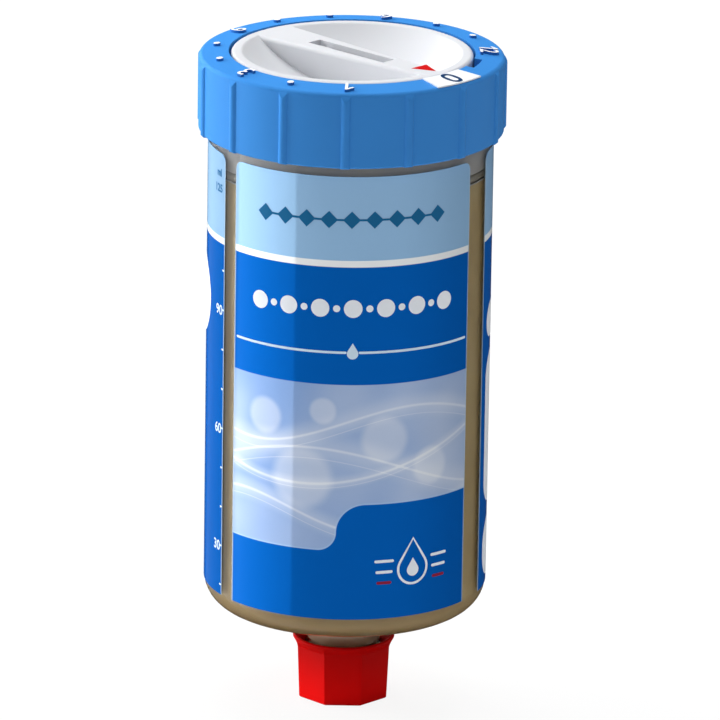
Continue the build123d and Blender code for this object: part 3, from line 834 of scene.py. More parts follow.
def turned_piece(name: str, profile: Outline, steps: int = 144) -> bpy.types.Object:
    """Piece turned about the Z axis from an outline that starts and ends on it.

    Each point (r, z) of the outline becomes a circle of points
    (r sin t, -r cos t, z), and the two ends are single points.

    Args:
        name: the piece's name.
        profile: (radius, height) points, from the lower end on the axis.
        steps: points round each circle.

    Returns:
        The object.
    """
    shape = np.array(profile[1:-1], float)
    turn = np.linspace(0.0, 2.0 * np.pi, steps, endpoint=False)
    heights = np.broadcast_to(shape[:, 1:], (len(shape), steps))
    body = round_axis(shape[:, :1], turn, heights).reshape(-1, 3)
    ends = np.array([[0.0, 0.0, profile[0][1]], [0.0, 0.0, profile[-1][1]]])
    faces = grid_faces(len(shape), steps, False, True).tolist()
    faces += fan_faces(len(body), 0, steps, False)
    faces += fan_faces(len(body) + 1, (len(shape) - 1) * steps, steps, True)
    return make_piece(name, np.concatenate([body, ends]), faces)


def arc_points(
    centre: tuple[float, float], radius: float, start: float, stop: float, steps: int = 8
) -> Outline:
    """Points on an arc in the (radius, height) plane, between two angles in degrees."""
    angles = np.radians(np.linspace(start, stop, steps))
    points = np.stack([np.cos(angles), np.sin(angles)], -1) * radius + centre
    return [tuple(point) for point in points]


def on_wall(points: np.ndarray, wall: float) -> np.ndarray:
    """Bends flat artwork round the container.

    A flat point (along, up, out) goes to plan angle along / wall, height up
    and radius wall + out.
    """
    return round_axis(wall + points[:, 2], points[:, 0] / wall, points[:, 1])


def on_ring(points: np.ndarray, angle: float, radius: float, height: float) -> np.ndarray:
    """Lays flat artwork on the ring's top with its upper side outwards.

    A flat point (right, up, out) goes right along the ring clockwise, up along
    its radius and out of its top face.
    """
    turn = math.radians(angle)
    outward = np.array([math.sin(turn), -math.cos(turn), 0.0])
    clockwise = np.array([-math.cos(turn), -math.sin(turn), 0.0])
    upward = np.array([0.0, 0.0, 1.0])
    centre = outward * radius + upward * height
    return centre + points @ np.stack([clockwise, outward, upward])


@dataclass
class Artwork:
    """Points and faces of flat shapes that are gathered into one piece."""

    points: list[np.ndarray] = field(default_factory=list)
    faces: list[list[int]] = field(default_factory=list)

    def add(self, points: np.ndarray, faces: list) -> None:
        """Adds one shape."""
        start = sum(len(part) for part in self.points)
        self.points.append(points)
        self.faces += [[start + int(index) for index in face] for face in faces]

    def piece(self, name: str, smooth: float = 40.0) -> bpy.types.Object:
        """Makes the object of all the shapes."""
        return make_piece(name, np.concatenate(self.points), self.faces, smooth)


def lettering(text: str, height: float, depth: float, bold: float = 0.0) -> Flat:
    """Solid figures from the standard font, centred on the origin.

    Args:
        text: the figures.
        height: height of the figures in millimetres.
        depth: how far they stand out.
        bold: how much wider each stroke is made, in millimetres.

    Returns:
        Their points and faces.
    """
    curve = bpy.data.curves.new("figures", "FONT")
    curve.body = text
    curve.extrude = 0.5
    curve.resolution_u = 5
    carrier = bpy.data.objects.new("figures", curve)
    bpy.context.scene.collection.objects.link(carrier)
    shown = carrier.evaluated_get(bpy.context.evaluated_depsgraph_get())
    size = shown.dimensions.y
    curve.offset = bold / height * size / 2
    shown = carrier.evaluated_get(bpy.context.evaluated_depsgraph_get())
    mesh = bpy.data.meshes.new_from_object(shown)
    points = np.empty(len(mesh.vertices) * 3)
    mesh.vertices.foreach_get("co", points)
    points = points.reshape(-1, 3)
    faces = [list(face.vertices) for face in mesh.polygons]
    low, high = points.min(0), points.max(0)
    points = (points - (low + high) / 2) * (height / (high[1] - low[1]))
    points[:, 2] = np.where(points[:, 2] > 0.0, depth, 0.0)
    bpy.data.objects.remove(carrier)
    bpy.data.meshes.remove(mesh)
    bpy.data.curves.remove(curve)
    return points, faces


def figure_one(height: float, depth: float, stroke: float = 0.5) -> Flat:
    """Solid figure 1 with a long flag: its outline stood up as a prism."""
    top = height / 2
    outline = np.array([
        (0.35 - stroke, -top), (0.35, -top), (0.35, top), (0.0, top),
        (-1.2, top - 0.9), (-0.92, top - 1.27), (0.35 - stroke, top - 0.68),
    ])
    count = len(outline)
    levels = [np.c_[outline, np.full(count, level)] for level in (0.0, depth)]
    return np.concatenate(levels), tube_faces(2, count)


def ring_figure(text: str, height: float, depth: float, gap: float = 0.5) -> Flat:
    """Figures of a number side by side, centred on the origin, a lone 1 on its stem.

    Args:
        text: the number.
        height: height of its figures in millimetres.
        depth: how far they stand out.
        gap: clear width between two figures.

    Returns:
        Their points and faces.
    """
    if text == "1":
        points, faces = figure_one(height, depth)
        return points - (0.1, 0.0, 0.0), faces
    row, place = Artwork(), 0.0
    for letter in text:
        one = letter == "1"
        points, faces = figure_one(height, depth) if one else lettering(letter, height, depth, 0.05)
        low, high = points[:, 0].min(), points[:, 0].max()
        row.add(points + (place - low, 0.0, 0.0), faces)
        place += high - low + gap
    points = np.concatenate(row.points)
    return points - ((place - gap) / 2, 0.0, 0.0), row.faces


def slab(width: float, height: float, depth: float, cell: float = 0.6) -> Flat:
    """Thin flat bar with rounded ends, as a grid that can be bent.

    The bar's outline is a row of ellipse points at each station along its
    length: its half height is the bar's own, less at the two rounded ends.
    """
    count = max(4, int(width / cell) + 1)
    end = min(width, height) / 2
    along = np.linspace(-width / 2, width / 2, count)
    along = np.concatenate([
        -width / 2 + end * (1.0 - np.cos(np.linspace(0.15, np.pi / 2, 5))),
        along[(along > -width / 2 + end * 1.05) & (along < width / 2 - end * 1.05)],
        width / 2 - end * (1.0 - np.cos(np.linspace(np.pi / 2, 0.15, 5))),
    ])
    reach = np.clip(np.abs(along) - (width / 2 - end), 0.0, end)
    half = np.sqrt(end * end - reach * reach) + (height / 2 - end)
    section = np.array([(-1.0, 0.0), (1.0, 0.0), (1.0, 1.0), (-1.0, 1.0)])
    points = np.stack([
        np.repeat(along, 4),
        (half[:, None] * section[None, :, 0]).ravel(),
        np.tile(section[:, 1] * depth, len(along)),
    ], -1)
    return points, tube_faces(len(along), 4)


def blob(radius: Edge | float, depth: float, round_edge: float = 0.0, steps: int = 40) -> Flat:
    """Thin flat patch whose edge is a radius for each direction.

    The rows are copies of the edge: on the ground, up its side, drawn in over
    a rounded shoulder, and on in towards a single centre.

    Args:
        radius: one number, or a function from angles to radii.
        depth: how far the patch stands out.
        round_edge: width of the rounded shoulder.
        steps: points round the edge.

    Returns:
        Its points and faces.
    """
    turn = np.linspace(0.0, 2.0 * np.pi, steps, endpoint=False)
    edge = radius(turn) if callable(radius) else np.full(steps, float(radius))
    shoulder = np.radians(np.linspace(0.0, 90.0, 5))
    inset = np.concatenate([[0.0], round_edge * (1.0 - np.cos(shoulder))])
    lift = np.concatenate([[0.0], depth - round_edge + round_edge * np.sin(shoulder)])
    shares = np.linspace(0.8, 0.2, 4)
    inner = (edge - round_edge)[None] * shares[:, None]
    reach = np.concatenate([edge[None] - inset[:, None], inner])
    lift = np.concatenate([lift, np.full(len(shares), depth)])
    rows, columns = reach.shape
    points = np.stack([
        (reach * np.cos(turn)).ravel(),
        (reach * np.sin(turn)).ravel(),
        np.repeat(lift, columns),
    ], -1)
    points = np.concatenate([points, [[0.0, 0.0, depth], [0.0, 0.0, 0.0]]])
    faces = grid_faces(rows, columns, False, True).tolist()
    faces += fan_faces(len(points) - 2, (rows - 1) * columns, columns, True)
    faces += fan_faces(len(points) - 1, 0, columns, False)
    return points, faces


def hoop(radius: Edge, stroke: float, depth: float, steps: int = 64) -> Flat:
    """Thin flat line along a closed edge given by a radius for each direction.

    Its section is a rectangle of the stroke's width and the given depth,
    carried round the edge.
    """
    turn = np.linspace(0.0, 2.0 * np.pi, steps, endpoint=False)
    edge = radius(turn)
    reach = edge[:, None] + BAR_SECTION[None, :, 0] * stroke
    points = np.stack([
        reach * np.cos(turn)[:, None],
        reach * np.sin(turn)[:, None],
        np.broadcast_to(BAR_SECTION[None, :, 1] * depth, reach.shape),
    ], -1).reshape(-1, 3)
    return points, grid_faces(steps, 4, True, True).tolist()


def drop_edge(turn: np.ndarray, size: float, tip: float = 1.95) -> np.ndarray:
    """Radius of a drop's outline for each direction.

    A circle of the given size, with the two tangents to it from a tip straight
    above, which lies at tip times the circle's radius from its centre.
    """
    off = np.abs((turn - np.pi / 2 + np.pi) % (2.0 * np.pi) - np.pi)
    touch = math.acos(1.0 / tip)
    return size / np.cos(np.clip(touch - off, 0.0, None))


def finish_piece(
    piece: bpy.types.Object, body: str, material: bpy.types.Material
) -> bpy.types.Object:
    """Dresses a new piece and lets it ride on a body.

    Args:
        piece: the piece.
        body: the CAD body that it moves with.
        material: its material.

    Returns:
        The piece.
    """
    set_material(piece, material)
    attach(piece, body)
    log.info("%s: %d faces, on %s", piece.name, len(piece.data.polygons), body)
    return piece


# --------------------------------------------------------------- sub-assemblies
@dataclass
class Cartridge:
    """Clear container with its grease and the outlet's thread."""

    body: str = "housing"
    wall: float = 1.5
    corner: float = 2.6
    gap: float = 0.1                # grease to the container's wall
    piston_edge: float = 2.8
    bore: float = 2.6
    funnel: float = 1.4
    base: float = 1.8
    collar_length: float = 6.3
    nipple_length: float = 14.9
    thread_major: float = 6.58
    thread_gauge: float = 6.0       # nipple's end to the gauge plane
    thread_pitch: float = 1.337
    thread_depth: float = 0.856
    thread_taper: float = 1.0 / 32.0
    travel: float = 71.5            # of the piston

    @property
    def nipple_end(self) -> float:
        """Height of the nipple's lower end."""
        return low_mm("container").z

    @property
    def floor(self) -> float:
        """Height of the container's inner floor."""
        return self.nipple_end + self.nipple_length + self.base

    def build_grease(self, finishes: Finishes) -> bpy.types.Object:
        """Grease that fills the container up to the piston."""
        low = self.floor + self.gap
        outer = radius_mm("container") - self.wall - self.gap
        crown = low_mm("piston").z - self.gap
        lip = high_mm("grease_charge").z
        inside = radius_mm("piston") + self.gap / 2
        edge = self.piston_edge
        profile: Outline = [(0.0, low), (outer * 0.5, low)]
        profile += arc_points((outer - self.corner, low + self.corner), self.corner, -90.0, 0.0)
        heights = np.linspace(low + self.corner, lip, 60)[1:]
        profile += [(outer - 0.03 + 0.03 * math.sin(0.55 * height), height) for height in heights]
        profile += [(inside + 0.02, lip)]
        profile += arc_points((inside - edge, crown + edge), edge, 0.0, -90.0)
        profile += [(outer * 0.4, crown), (0.0, crown)]
        piece = turned_piece("grease_fill", profile)
        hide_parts("grease_charge")
        finish_piece(piece, self.body, finishes.get("grease"))
        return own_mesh(piece)

    def build_plug(self, finishes: Finishes) -> bpy.types.Object:
        """Grease that stands in the outlet bore and its funnel."""
        reach = self.bore - 0.05
        low, high = self.nipple_end + 0.25, self.floor + 0.02
        profile: Outline = [(0.0, low - 0.2), (reach * 0.6, low - 0.12), (reach, low + 0.1)]
        profile += [(reach, height) for height in np.linspace(low + 0.6, high - self.funnel, 12)]
        half = self.funnel * 0.5
        profile += [(reach + half, high - half), (reach + self.funnel, high), (0.0, high)]
        piece = turned_piece("outlet_grease", profile, 72)
        return finish_piece(piece, self.body, finishes.get("grease"))

    def build_thread(self, finishes: Finishes) -> bpy.types.Object:
        """Helical ridge of the outlet's taper thread.

        A low trapezium section is carried up a helix. The root's radius grows
        by the taper, and the ridge fades into it at both ends.
        """
        low = self.nipple_end + 0.5 * self.thread_pitch
        high = self.nipple_end + self.nipple_length - self.collar_length - 0.5 * self.thread_pitch
        turns = (high - low) / self.thread_pitch
        steps = int(turns * 72)
        along = np.linspace(0.0, 1.0, steps)
        height = low + along * (high - low)
        turn = along * turns * 2.0 * np.pi
        fade = np.clip(np.minimum(along, 1.0 - along) * turns * 3.0, 0.02, 1.0)
        past_gauge = height - self.nipple_end - self.thread_gauge
        root = self.thread_major + past_gauge * self.thread_taper - self.thread_depth
        section = np.array([(-0.46, -0.03), (-0.12, 1.0), (0.12, 1.0), (0.46, -0.03)])
        reach = root[:, None] + section[None, :, 1] * fade[:, None] * self.thread_depth
        level = height[:, None] + section[None, :, 0] * self.thread_pitch
        points = round_axis(reach, turn[:, None], level).reshape(-1, 3)
        faces = [face[::-1] for face in tube_faces(steps, 4)]
        piece = make_piece("outlet_thread_ridge", points, faces, 25.0)
        return finish_piece(piece, self.body, finishes.get("clear"))

    def build(self, finishes: Finishes) -> None:
        """Builds the cartridge's pieces and dresses its CAD nodes."""
        clear = ClearMoulding(
            name="wet_clear_moulding",
            wet_radius=radius_mm("container") - self.wall + 0.2,
            wet_low=self.floor - 0.15,
            wet_high=high_mm("container").z - 0.3,
            bore=self.bore + 0.15,
            funnel=self.funnel,
            cloud_high=self.nipple_end + self.nipple_length,
        )
        set_material(node_object("container"), clear.build())
        self.build_grease(finishes)
        self.build_plug(finishes)
        self.build_thread(finishes)


@dataclass
class Labels:
    """The two printed labels, with their volume scale and plain ornament."""

    body: str = "housing"
    ink: float = 0.02                # thickness of the raised print
    lift: float = 0.006
    front_edges: tuple[float, float] = (-52.2, 56.2)
    rear_edges: tuple[float, float] = (70.2, -59.9)
    scale_step: float = 6.9          # height of 10 ml
    scale_first: float = 23.0        # height of the 20 ml mark
    scale_marks: tuple[int, ...] = (20, 30, 40, 50, 60, 70, 80, 90, 100)
    scale_named: tuple[int, ...] = (30, 60, 90)
    tick: tuple[float, float] = (0.66, 0.32)
    tick_inset: float = 1.0          # degrees from the label's edge to the middle of a mark
    figure_inset: float = 4.3
    figure: float = 1.75
    # text, height, inset and place of the unit's two lines
    unit: tuple[tuple[str, float, float, float], ...] = (
        ("ml", 1.35, 5.2, 94.9),
        ("125", 1.45, 5.4, 92.2),
    )
    dot_pitch: float = 6.6           # degrees from one dot to the next
    dots: tuple[float, float] = (1.55, 0.6)          # radii of the even and odd dots
    dot_row: tuple[float, float] = (2.0, 75.6)       # plan angle and height of its middle
    rule_height: float = 68.0
    diamond_pitch: float = 9.1
    diamond: float = 1.5
    diamond_row: tuple[float, float] = (1.0, 90.9)
    drop: tuple[float, float] = (28.5, 29.6)
    bar_offset: float = 12.4         # degrees from the drop to its bars
    bar_pitch: float = 1.9
    round_patch: tuple[float, float, float] = (7.0, -91.0, 71.6)
    panel_angle: float = 86.5
    # height of the middle, width and height of each bare panel
    panels: tuple[tuple[float, float, float], ...] = (
        (68.0, 9.0, 6.2),
        (49.0, 9.0, 27.0),
        (27.6, 9.0, 10.4),
    )

    @property
    def wall(self) -> float:
        """Radius of the labels' printed face, from the rear label's reach."""
        return (high_mm("rear_label") - low_mm("rear_label")).x / 2

    def _lay(self, flat: Flat, angle: float, height: float) -> Flat:
        """Bends a flat shape round the wall, centred on a plan angle and a height."""
        points, faces = flat
        centre = np.array([math.radians(angle) * self.wall, height, self.lift])
        return on_wall(points + centre, self.wall), faces

    def _print(self, artwork: Artwork, name: str, finish: bpy.types.Material) -> None:
        """Makes one printed piece of the artwork."""
        finish_piece(artwork.piece(name), self.body, finish)

    def build_scale(self, finishes: Finishes) -> None:
        """Volume scale beside the rear label's first window: ticks, figures and unit."""
        edge = self.rear_edges[1]
        ticks, figures, unit = Artwork(), Artwork(), Artwork()
        for volume in self.scale_marks:
            height = self.scale_first + (volume - self.scale_marks[0]) / 10 * self.scale_step
            ticks.add(*self._lay(slab(*self.tick, self.ink), edge - self.tick_inset, height))
            if volume in self.scale_named:
                shape = lettering(str(volume), self.figure, self.ink, 0.06)
                figures.add(*self._lay(shape, edge - self.figure_inset, height - 0.15))
        for text, size, inset, height in self.unit:
            unit.add(*self._lay(lettering(text, size, self.ink, 0.1), edge - inset, height))
        white = finishes.get("print_pale")
        self._print(ticks, "volume_scale_ticks", white)
        self._print(figures, "volume_scale_figures", white)
        self._print(unit, "volume_scale_unit", finishes.get("print_teal"))

    def _diamond(self, turn: np.ndarray) -> np.ndarray:
        """Radius of a diamond's outline for each direction."""
        return self.diamond / (np.abs(np.cos(turn)) + np.abs(np.sin(turn)))

    def build_ornament(self, finishes: Finishes) -> None:
        """Plain ornament on the front label: two rows, a rule, and a drop between bars."""
        dots, rule, diamonds, drop, red = (Artwork() for _ in range(5))
        middle, height = self.dot_row
        for step in range(-6, 7):
            shape = blob(self.dots[step % 2], self.ink)
            dots.add(*self._lay(shape, middle + step * self.dot_pitch, height))
        for side in (-1, 1):
            shape = slab(21.0, 0.42, self.ink)
            rule.add(*self._lay(shape, middle + side * 27.5, self.rule_height))
        shape = blob(lambda turn: drop_edge(turn, 0.95), self.ink)
        rule.add(*self._lay(shape, middle, self.rule_height - 0.2))
        middle, height = self.diamond_row
        for step in range(-4, 5):
            shape = blob(self._diamond, self.ink)
            diamonds.add(*self._lay(shape, middle + step * self.diamond_pitch, height))
        for step in range(-4, 4):
            shape = slab(1.3, 0.36, self.ink)
            diamonds.add(*self._lay(shape, middle + (step + 0.5) * self.diamond_pitch, height))
        middle, height = self.drop
        for side in (-1, 1):
            for row, bars in enumerate((drop, drop, red)):
                shape = slab(3.4 - row * 0.4, 0.5, self.ink)
                place = height + 1.7 - row * self.bar_pitch
                bars.add(*self._lay(shape, middle + side * self.bar_offset, place))
        shape = hoop(lambda turn: drop_edge(turn, 2.7), 0.42, self.ink)
        drop.add(*self._lay(shape, middle, height))
        shape = blob(lambda turn: drop_edge(turn, 1.1), self.ink)
        drop.add(*self._lay(shape, middle, height - 0.3))
        for artwork, name, finish in (
            (dots, "label_dot_row", "print_white"),
            (rule, "label_rule", "print_pale"),
            (diamonds, "label_diamond_row", "print_teal"),
            (drop, "label_drop", "print_white"),
            (red, "label_drop_bars", "print_red"),
        ):
            self._print(artwork, name, finishes.get(finish))

    def build_patches(self, finishes: Finishes) -> None:
        """Bare white patches on the rear label: one round and three rounded panels."""
        patches = Artwork()
        radius, angle, height = self.round_patch
        patches.add(*self._lay(blob(radius, self.ink, steps=72), angle, height))
        for height, width, tall in self.panels:
            patches.add(*self._lay(slab(width, tall, self.ink), self.panel_angle, height))
        self._print(patches, "rear_label_patches", finishes.get("print_white"))

    def build(self, finishes: Finishes) -> None:
        """Prints both labels and lays their ornament."""
        foot = low_mm("front_label").z
        for side, node, edges in (
            (LabelSide.FRONT, "front_label", self.front_edges),
            (LabelSide.REAR, "rear_label", self.rear_edges),
        ):
            print_ = LabelPrint(side, self.wall, foot, edges)
            set_material(node_object(node), print_.build())
        self.build_scale(finishes)
        self.build_ornament(finishes)
        self.build_patches(finishes)


@dataclass
class ScaleRing:
    """Grip ring with its raised scale: figures, dots and the zero flag."""

    body: str = "housing"
    divisions: int = 15
    first: float = -2.0
    named: tuple[int, ...] = (1, 3, 6, 9, 12)
    last: int = 12
    mark_radius: float = 22.9
    mark_height: float = 0.5
    figure: float = 3.2
    dot: float = 0.62
    mark_sink: float = 0.02          # depth to which the marks' feet stand in the ring
    zero_angle: float = 46.0
    zero_radius: float = 22.95
    zero: tuple[float, float, float] = (0.95, 1.7, 2.7)    # half width and height, squareness
    zero_stroke: float = 0.72
    bore_edge: float = 20.65         # radius where the sloped top starts
    slope: float = -0.45 / 4.95      # height lost for each millimetre outwards
    flag_thickness: float = 0.22

    def _surface(self, radius: float) -> float:
        """Height of the ring's sloped top at a radius."""
        return high_mm("top_ring").z + self.slope * (radius - self.bore_edge)

    def _lay(self, flat: Flat, angle: float, radius: float, rise: float) -> Flat:
        """Lays a flat shape on the sloped top.

        Args:
            flat: its points and faces.
            angle: plan angle of its centre.
            radius: radius of its centre.
            rise: how far it starts above the ring's own face.

        Returns:
            Its points and faces in place.
        """
        points, faces = flat
        tilted = points + np.outer(points[:, 1], (0.0, 0.0, self.slope))
        return on_ring(tilted, angle, radius, self._surface(radius) + rise), faces

    def build_marks(self, finishes: Finishes) -> None:
        """Raised figures and dots. The numbers grow clockwise, seen from above."""
        marks = Artwork()
        for number in range(1, self.last + 1):
            angle = self.first - (number - 1) * TURN / self.divisions
            if number in self.named:
                shape = ring_figure(str(number), self.figure, self.mark_height)
            else:
                shape = blob(self.dot, self.mark_height, 0.12)
            marks.add(*self._lay(shape, angle, self.mark_radius, -self.mark_sink))
        piece = marks.piece("ring_scale_marks", 50.0)
        finish_piece(piece, self.body, finishes.get("painted_relief"))

    def _zero_edge(self, turn: np.ndarray) -> np.ndarray:
        """Radius of a superellipse's outline for each direction."""
        half_width, half_height, square = self.zero
        across = np.abs(np.cos(turn)) / half_width
        along = np.abs(np.sin(turn)) / half_height
        return (across ** square + along ** square) ** (-1.0 / square)

    def build_zero(self, finishes: Finishes) -> None:
        """Dark zero on the flag: a tall rounded hoop that follows the flag's slope."""
        zero = Artwork()
        shape = hoop(self._zero_edge, self.zero_stroke, 0.03)
        rise = self.flag_thickness + 0.004
        zero.add(*self._lay(shape, self.zero_angle, self.zero_radius, rise))
        navy = finishes.get("print_navy")
        finish_piece(zero.piece("zero_figure"), self.body, navy)

    def build(self, finishes: Finishes) -> None:
        """Dresses the ring and the flag and adds their marks."""
        finishes.dress("blue", "top_ring")
        finishes.dress("mark_white", "zero_flag")
        self.build_marks(finishes)
        self.build_zero(finishes)


@dataclass
class SettingDial:
    """White dial with its red pointer, its seal and its contact wiper."""

    def build(self, finishes: Finishes) -> None:
        """Dresses the dial's CAD nodes."""
        finishes.dress("white", "dial")
        finishes.dress("pointer_red", "pointer_mark")
        finishes.dress("rubber", "dial_seal")
        finishes.dress("brass", "contact_wiper")


@dataclass
class DriveUnit:
    """Piston and gas drive: the cells, the board and their seals."""

    body: str = "housing"
    tracks: tuple[tuple[float, float], ...] = ((8.0, 360.0), (11.4, 16.0))
    track_width: float = 1.3
    track_pitch: float = 24.0
    track_depth: float = 0.035
    dress: tuple[tuple[str, tuple[str, ...]], ...] = (
        ("piston", ("piston",)),
        ("grey", ("drive_housing",)),
        ("piston_rubber", ("piston_seal",)),
        ("rubber", ("housing_seal", "gas_cell_seal")),
        ("steel", ("gas_cell", "battery_left", "battery_right")),
        ("brass", ("battery_contact_left", "battery_contact_right")),
        ("board", ("circuit_board",)),
        ("resin", ("control_chip",)),
        ("resistor", ("resistor_left", "resistor_right")),
    )

    def build_tracks(self, finishes: Finishes) -> None:
        """Copper tracks that the dial's wiper runs over: one ring and a row of pads.

        Each track is a rectangle carried along an arc about the Z axis.
        """
        top = high_mm("circuit_board").z
        artwork = Artwork()
        for radius, span in self.tracks:
            whole = span >= TURN
            steps = 120 if whole else 10
            reach = radius + BAR_SECTION[None, :, 0] * self.track_width
            level = np.broadcast_to(top + BAR_SECTION[None, :, 1] * self.track_depth, (steps, 4))
            for start in [0.0] if whole else np.arange(0.0, TURN, self.track_pitch):
                turn = np.radians(start + np.linspace(0.0, span, steps, endpoint=not whole))
                points = round_axis(reach, turn[:, None], level)
                faces = grid_faces(steps, 4, True, True).tolist() if whole else tube_faces(steps, 4)
                artwork.add(points.reshape(-1, 3), [face[::-1] for face in faces])
        copper = finishes.get("copper")
        finish_piece(artwork.piece("board_tracks"), self.body, copper)

    def build(self, finishes: Finishes) -> None:
        """Dresses the piston, the housing and what they hold."""
        for finish, nodes in self.dress:
            finishes.dress(finish, *nodes)
        self.build_tracks(finishes)


@dataclass
class ClosureCap:
    """Red octagonal cap with its soft sealing disc."""

    def build(self, finishes: Finishes) -> None:
        """Dresses the cap's CAD nodes."""
        finishes.dress("red", "closure_cap")
        finishes.dress("pad", "cap_seal")


# --------------------------------------------------------------------- studio
@dataclass(frozen=True)
class Panel:
    """One soft rectangular lamp that faces a target and isn't mirrored in the finishes."""

    name: str
    azimuth: float                   # plan angle of the lamp
    elevation: float
    distance: float                  # metres
    width: float
    height: float
    power: float

    def build(self, target: Vector) -> bpy.types.Object:
        """Makes the lamp."""
        lamp = bpy.data.lights.new(self.name, "AREA")
        lamp.shape = "RECTANGLE"
        lamp.size, lamp.size_y = self.width, self.height
        lamp.energy = self.power
        lamp_object = bpy.data.objects.new(self.name, lamp)
        turn, rise = math.radians(self.azimuth), math.radians(self.elevation)
        flat = math.cos(rise)
        way = Vector((math.sin(turn) * flat, -math.cos(turn) * flat, math.sin(rise)))
        lamp_object.location = target + way * self.distance
        lamp_object.rotation_euler = way.to_track_quat("Z", "Y").to_euler()
        lamp_object.visible_camera = False
        lamp_object.visible_glossy = False
        bpy.context.scene.collection.objects.link(lamp_object)
        return lamp_object


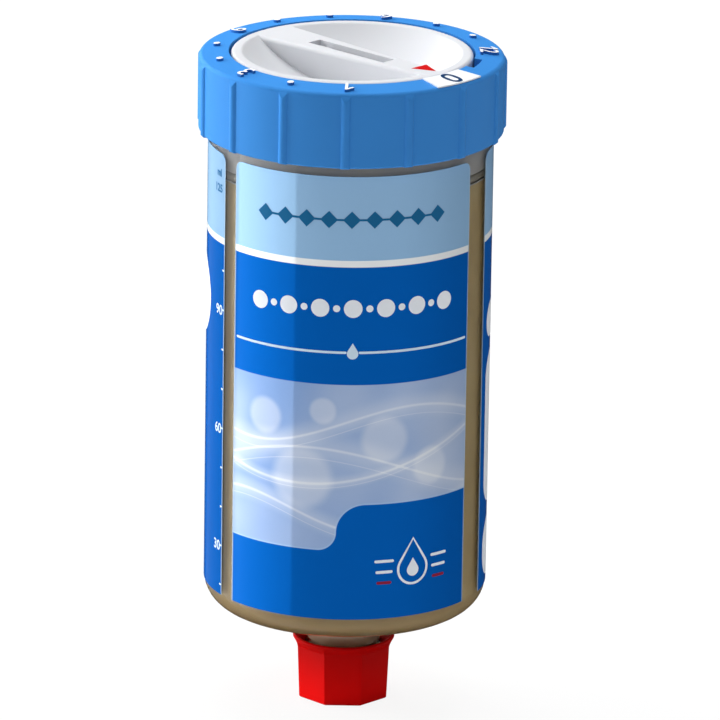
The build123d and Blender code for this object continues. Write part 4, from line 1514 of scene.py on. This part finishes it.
@dataclass
class Studio:
    """Pale floor, plain soft light, white surroundings and the camera.

    What the finishes mirror is set by plan angle: a bright panel at the left,
    a gap and a dim panel behind it, a plain front and a dark back.
    """

    ambient: float = 0.347
    ambient_color: Color = (0.97, 0.99, 1.0)
    clear_level: float = 0.8         # seen through clear plastic
    gloss_level: float = 0.7
    gloss_fade: tuple[float, float] = (80.0, 90.0)      # middle and width, to the right
    gloss_horizon: tuple[float, float] = (-0.47, 0.3)   # middle and width, downwards
    gloss_below: float = 0.15
    panel_levels: tuple[float, float] = (3.1, 1.75)     # at the two edges of the side panel
    panel_edges: tuple[float, float] = (-101.6, -44.0)
    gap_level: float = 1.1
    rear_panel_level: float = 0.3
    rear_panel_edges: tuple[float, float] = (-158.0, -119.0)
    rear_level: float = 0.03
    panels: tuple[Panel, ...] = (
        Panel("key_lamp", -108.0, 8.0, 0.9, 0.5, 0.8, 12.5),
        Panel("rear_lamp", -150.0, 8.0, 0.9, 0.5, 0.8, 9.0),
        Panel("top_lamp", 185.0, 74.0, 0.9, 0.7, 0.7, 6.2),
    )
    floor_tone: float = 0.85         # as the object sees it
    floor_seen: float = 0.95         # as the camera sees it
    floor_glow: float = 0.9          # share of plain white in what the camera sees
    floor_reach: float = 2500.0
    focal_length: float = 424.27
    sensor: float = 36.0
    distance: float = 1.4328
    elevation: float = 17.239
    roll: float = 0.875
    target: Color = (0.002081, 0.0, 0.059347)

    def build_floor(self) -> None:
        """Pale floor that keeps a soft shadow and is left out of reflections."""
        steps = np.linspace(-self.floor_reach, self.floor_reach, 9)
        across, along = np.meshgrid(steps, steps, indexing="ij")
        points = np.stack([across, along, np.zeros_like(across)], -1).reshape(-1, 3)
        faces = grid_faces(9, 9, False, False)[:, ::-1].tolist()
        floor = make_piece("studio_floor", points, faces)
        recipe = Recipe("studio_floor")
        grain = recipe.noise(60.0)
        seen = Shade(recipe, recipe.add("ShaderNodeLightPath").outputs["Is Camera Ray"])
        paper = recipe.tinted((self.floor_seen,) * 3, grain, 0.99, 1.0)
        color = recipe.mix(seen, (self.floor_tone,) * 3, paper)
        matt = recipe.shader("ShaderNodeBsdfDiffuse", {"Color": color})
        white = recipe.shader("ShaderNodeEmission", {"Color": WHITE, "Strength": 1.0})
        set_material(floor, recipe.close(recipe.blend(seen * self.floor_glow, matt, white)))
        floor.visible_glossy = False
        floor.visible_transmission = False

    def build_world(self) -> None:
        """White surroundings: plain ambient light, with one brighter panel in reflections."""
        world = bpy.data.worlds.new("studio")
        bpy.context.scene.world = world
        world.use_nodes = True
        recipe = WorldRecipe(world)
        path = recipe.add("ShaderNodeLightPath").outputs
        direction = recipe.add("ShaderNodeTexCoord").outputs["Generated"]
        parts = recipe.add("ShaderNodeSeparateXYZ", None, {0: direction})
        x, y, z = (Shade(recipe, socket) for socket in parts.outputs)
        angle = recipe.plan_angle(x, y)
        first, last = self.panel_edges
        start, stop = self.panel_levels
        side = ((angle - first) / (last - first)).within(0.0, 1.0) * (stop - start) + start
        plain = 1.0 - angle.above(*self.gloss_fade)
        level = plain * (self.gloss_level - self.rear_level) + self.rear_level
        level = level + (side - level) * angle.between(first, last, 1.0)
        for edge, soft, tone in (
            (first, 1.0, self.gap_level),
            (self.rear_panel_edges[1], 4.0, self.rear_panel_level),
            (self.rear_panel_edges[0], 8.0, self.rear_level),
        ):
            level = level + (tone - level) * (1.0 - angle.above(edge, soft))
        below = self.gloss_below
        gloss = level * (z.above(*self.gloss_horizon) * (1.0 - below) + below)
        camera = Shade(recipe, path["Is Camera Ray"])
        clear = Shade(recipe, path["Is Transmission Ray"])
        glossy = Shade(recipe, path["Is Glossy Ray"])
        strength = glossy * (gloss - self.ambient) + self.ambient
        strength = clear * (self.clear_level - strength) + strength
        strength = camera * (1.0 - strength) + strength
        tint = recipe.mix(camera.larger(glossy), self.ambient_color, WHITE)
        recipe.close(recipe.shader("ShaderNodeBackground", {"Color": tint, "Strength": strength}))

    def build_camera(self) -> None:
        """Long-lens camera, a little above the lubricator and slightly rolled."""
        rise, roll = math.radians(self.elevation), math.radians(self.roll)
        back = Vector((0.0, -math.cos(rise), math.sin(rise)))
        up = Vector((0.0, math.sin(rise), math.cos(rise)))
        right = Vector((1.0, 0.0, 0.0))
        rolled_right = right * math.cos(roll) + up * math.sin(roll)
        rolled_up = up * math.cos(roll) - right * math.sin(roll)
        lens = bpy.data.cameras.new("camera")
        lens.lens = self.focal_length
        lens.sensor_width = self.sensor
        lens.clip_end = 20.0
        camera = bpy.data.objects.new("camera", lens)
        turn = Matrix((rolled_right, rolled_up, back)).transposed().to_4x4()
        camera.matrix_world = Matrix.Translation(Vector(self.target) + back * self.distance) @ turn
        bpy.context.scene.collection.objects.link(camera)
        bpy.context.scene.camera = camera

    def build(self) -> None:
        """Builds the whole studio."""
        bpy.context.scene.view_settings.view_transform = "Standard"
        self.build_floor()
        self.build_world()
        for panel in self.panels:
            panel.build(Vector(self.target))
        self.build_camera()


class WorldRecipe(Recipe):
    """A world's node tree, filled in the same way as a material's."""

    def __init__(self, world: bpy.types.World) -> None:
        """Empties a world's tree and adds its output node."""
        self.material = world
        self.tree = world.node_tree
        self.tree.nodes.clear()
        self.output = self.add("ShaderNodeOutputWorld")
        self._place = None


def main() -> None:
    """Builds every sub-assembly in order."""
    logging.basicConfig(level=logging.INFO, format="%(message)s")
    finishes = Finishes()
    Cartridge().build(finishes)
    Labels().build(finishes)
    ScaleRing().build(finishes)
    SettingDial().build(finishes)
    DriveUnit().build(finishes)
    ClosureCap().build(finishes)
    Studio().build()


if __name__ == "__main__":
    main()
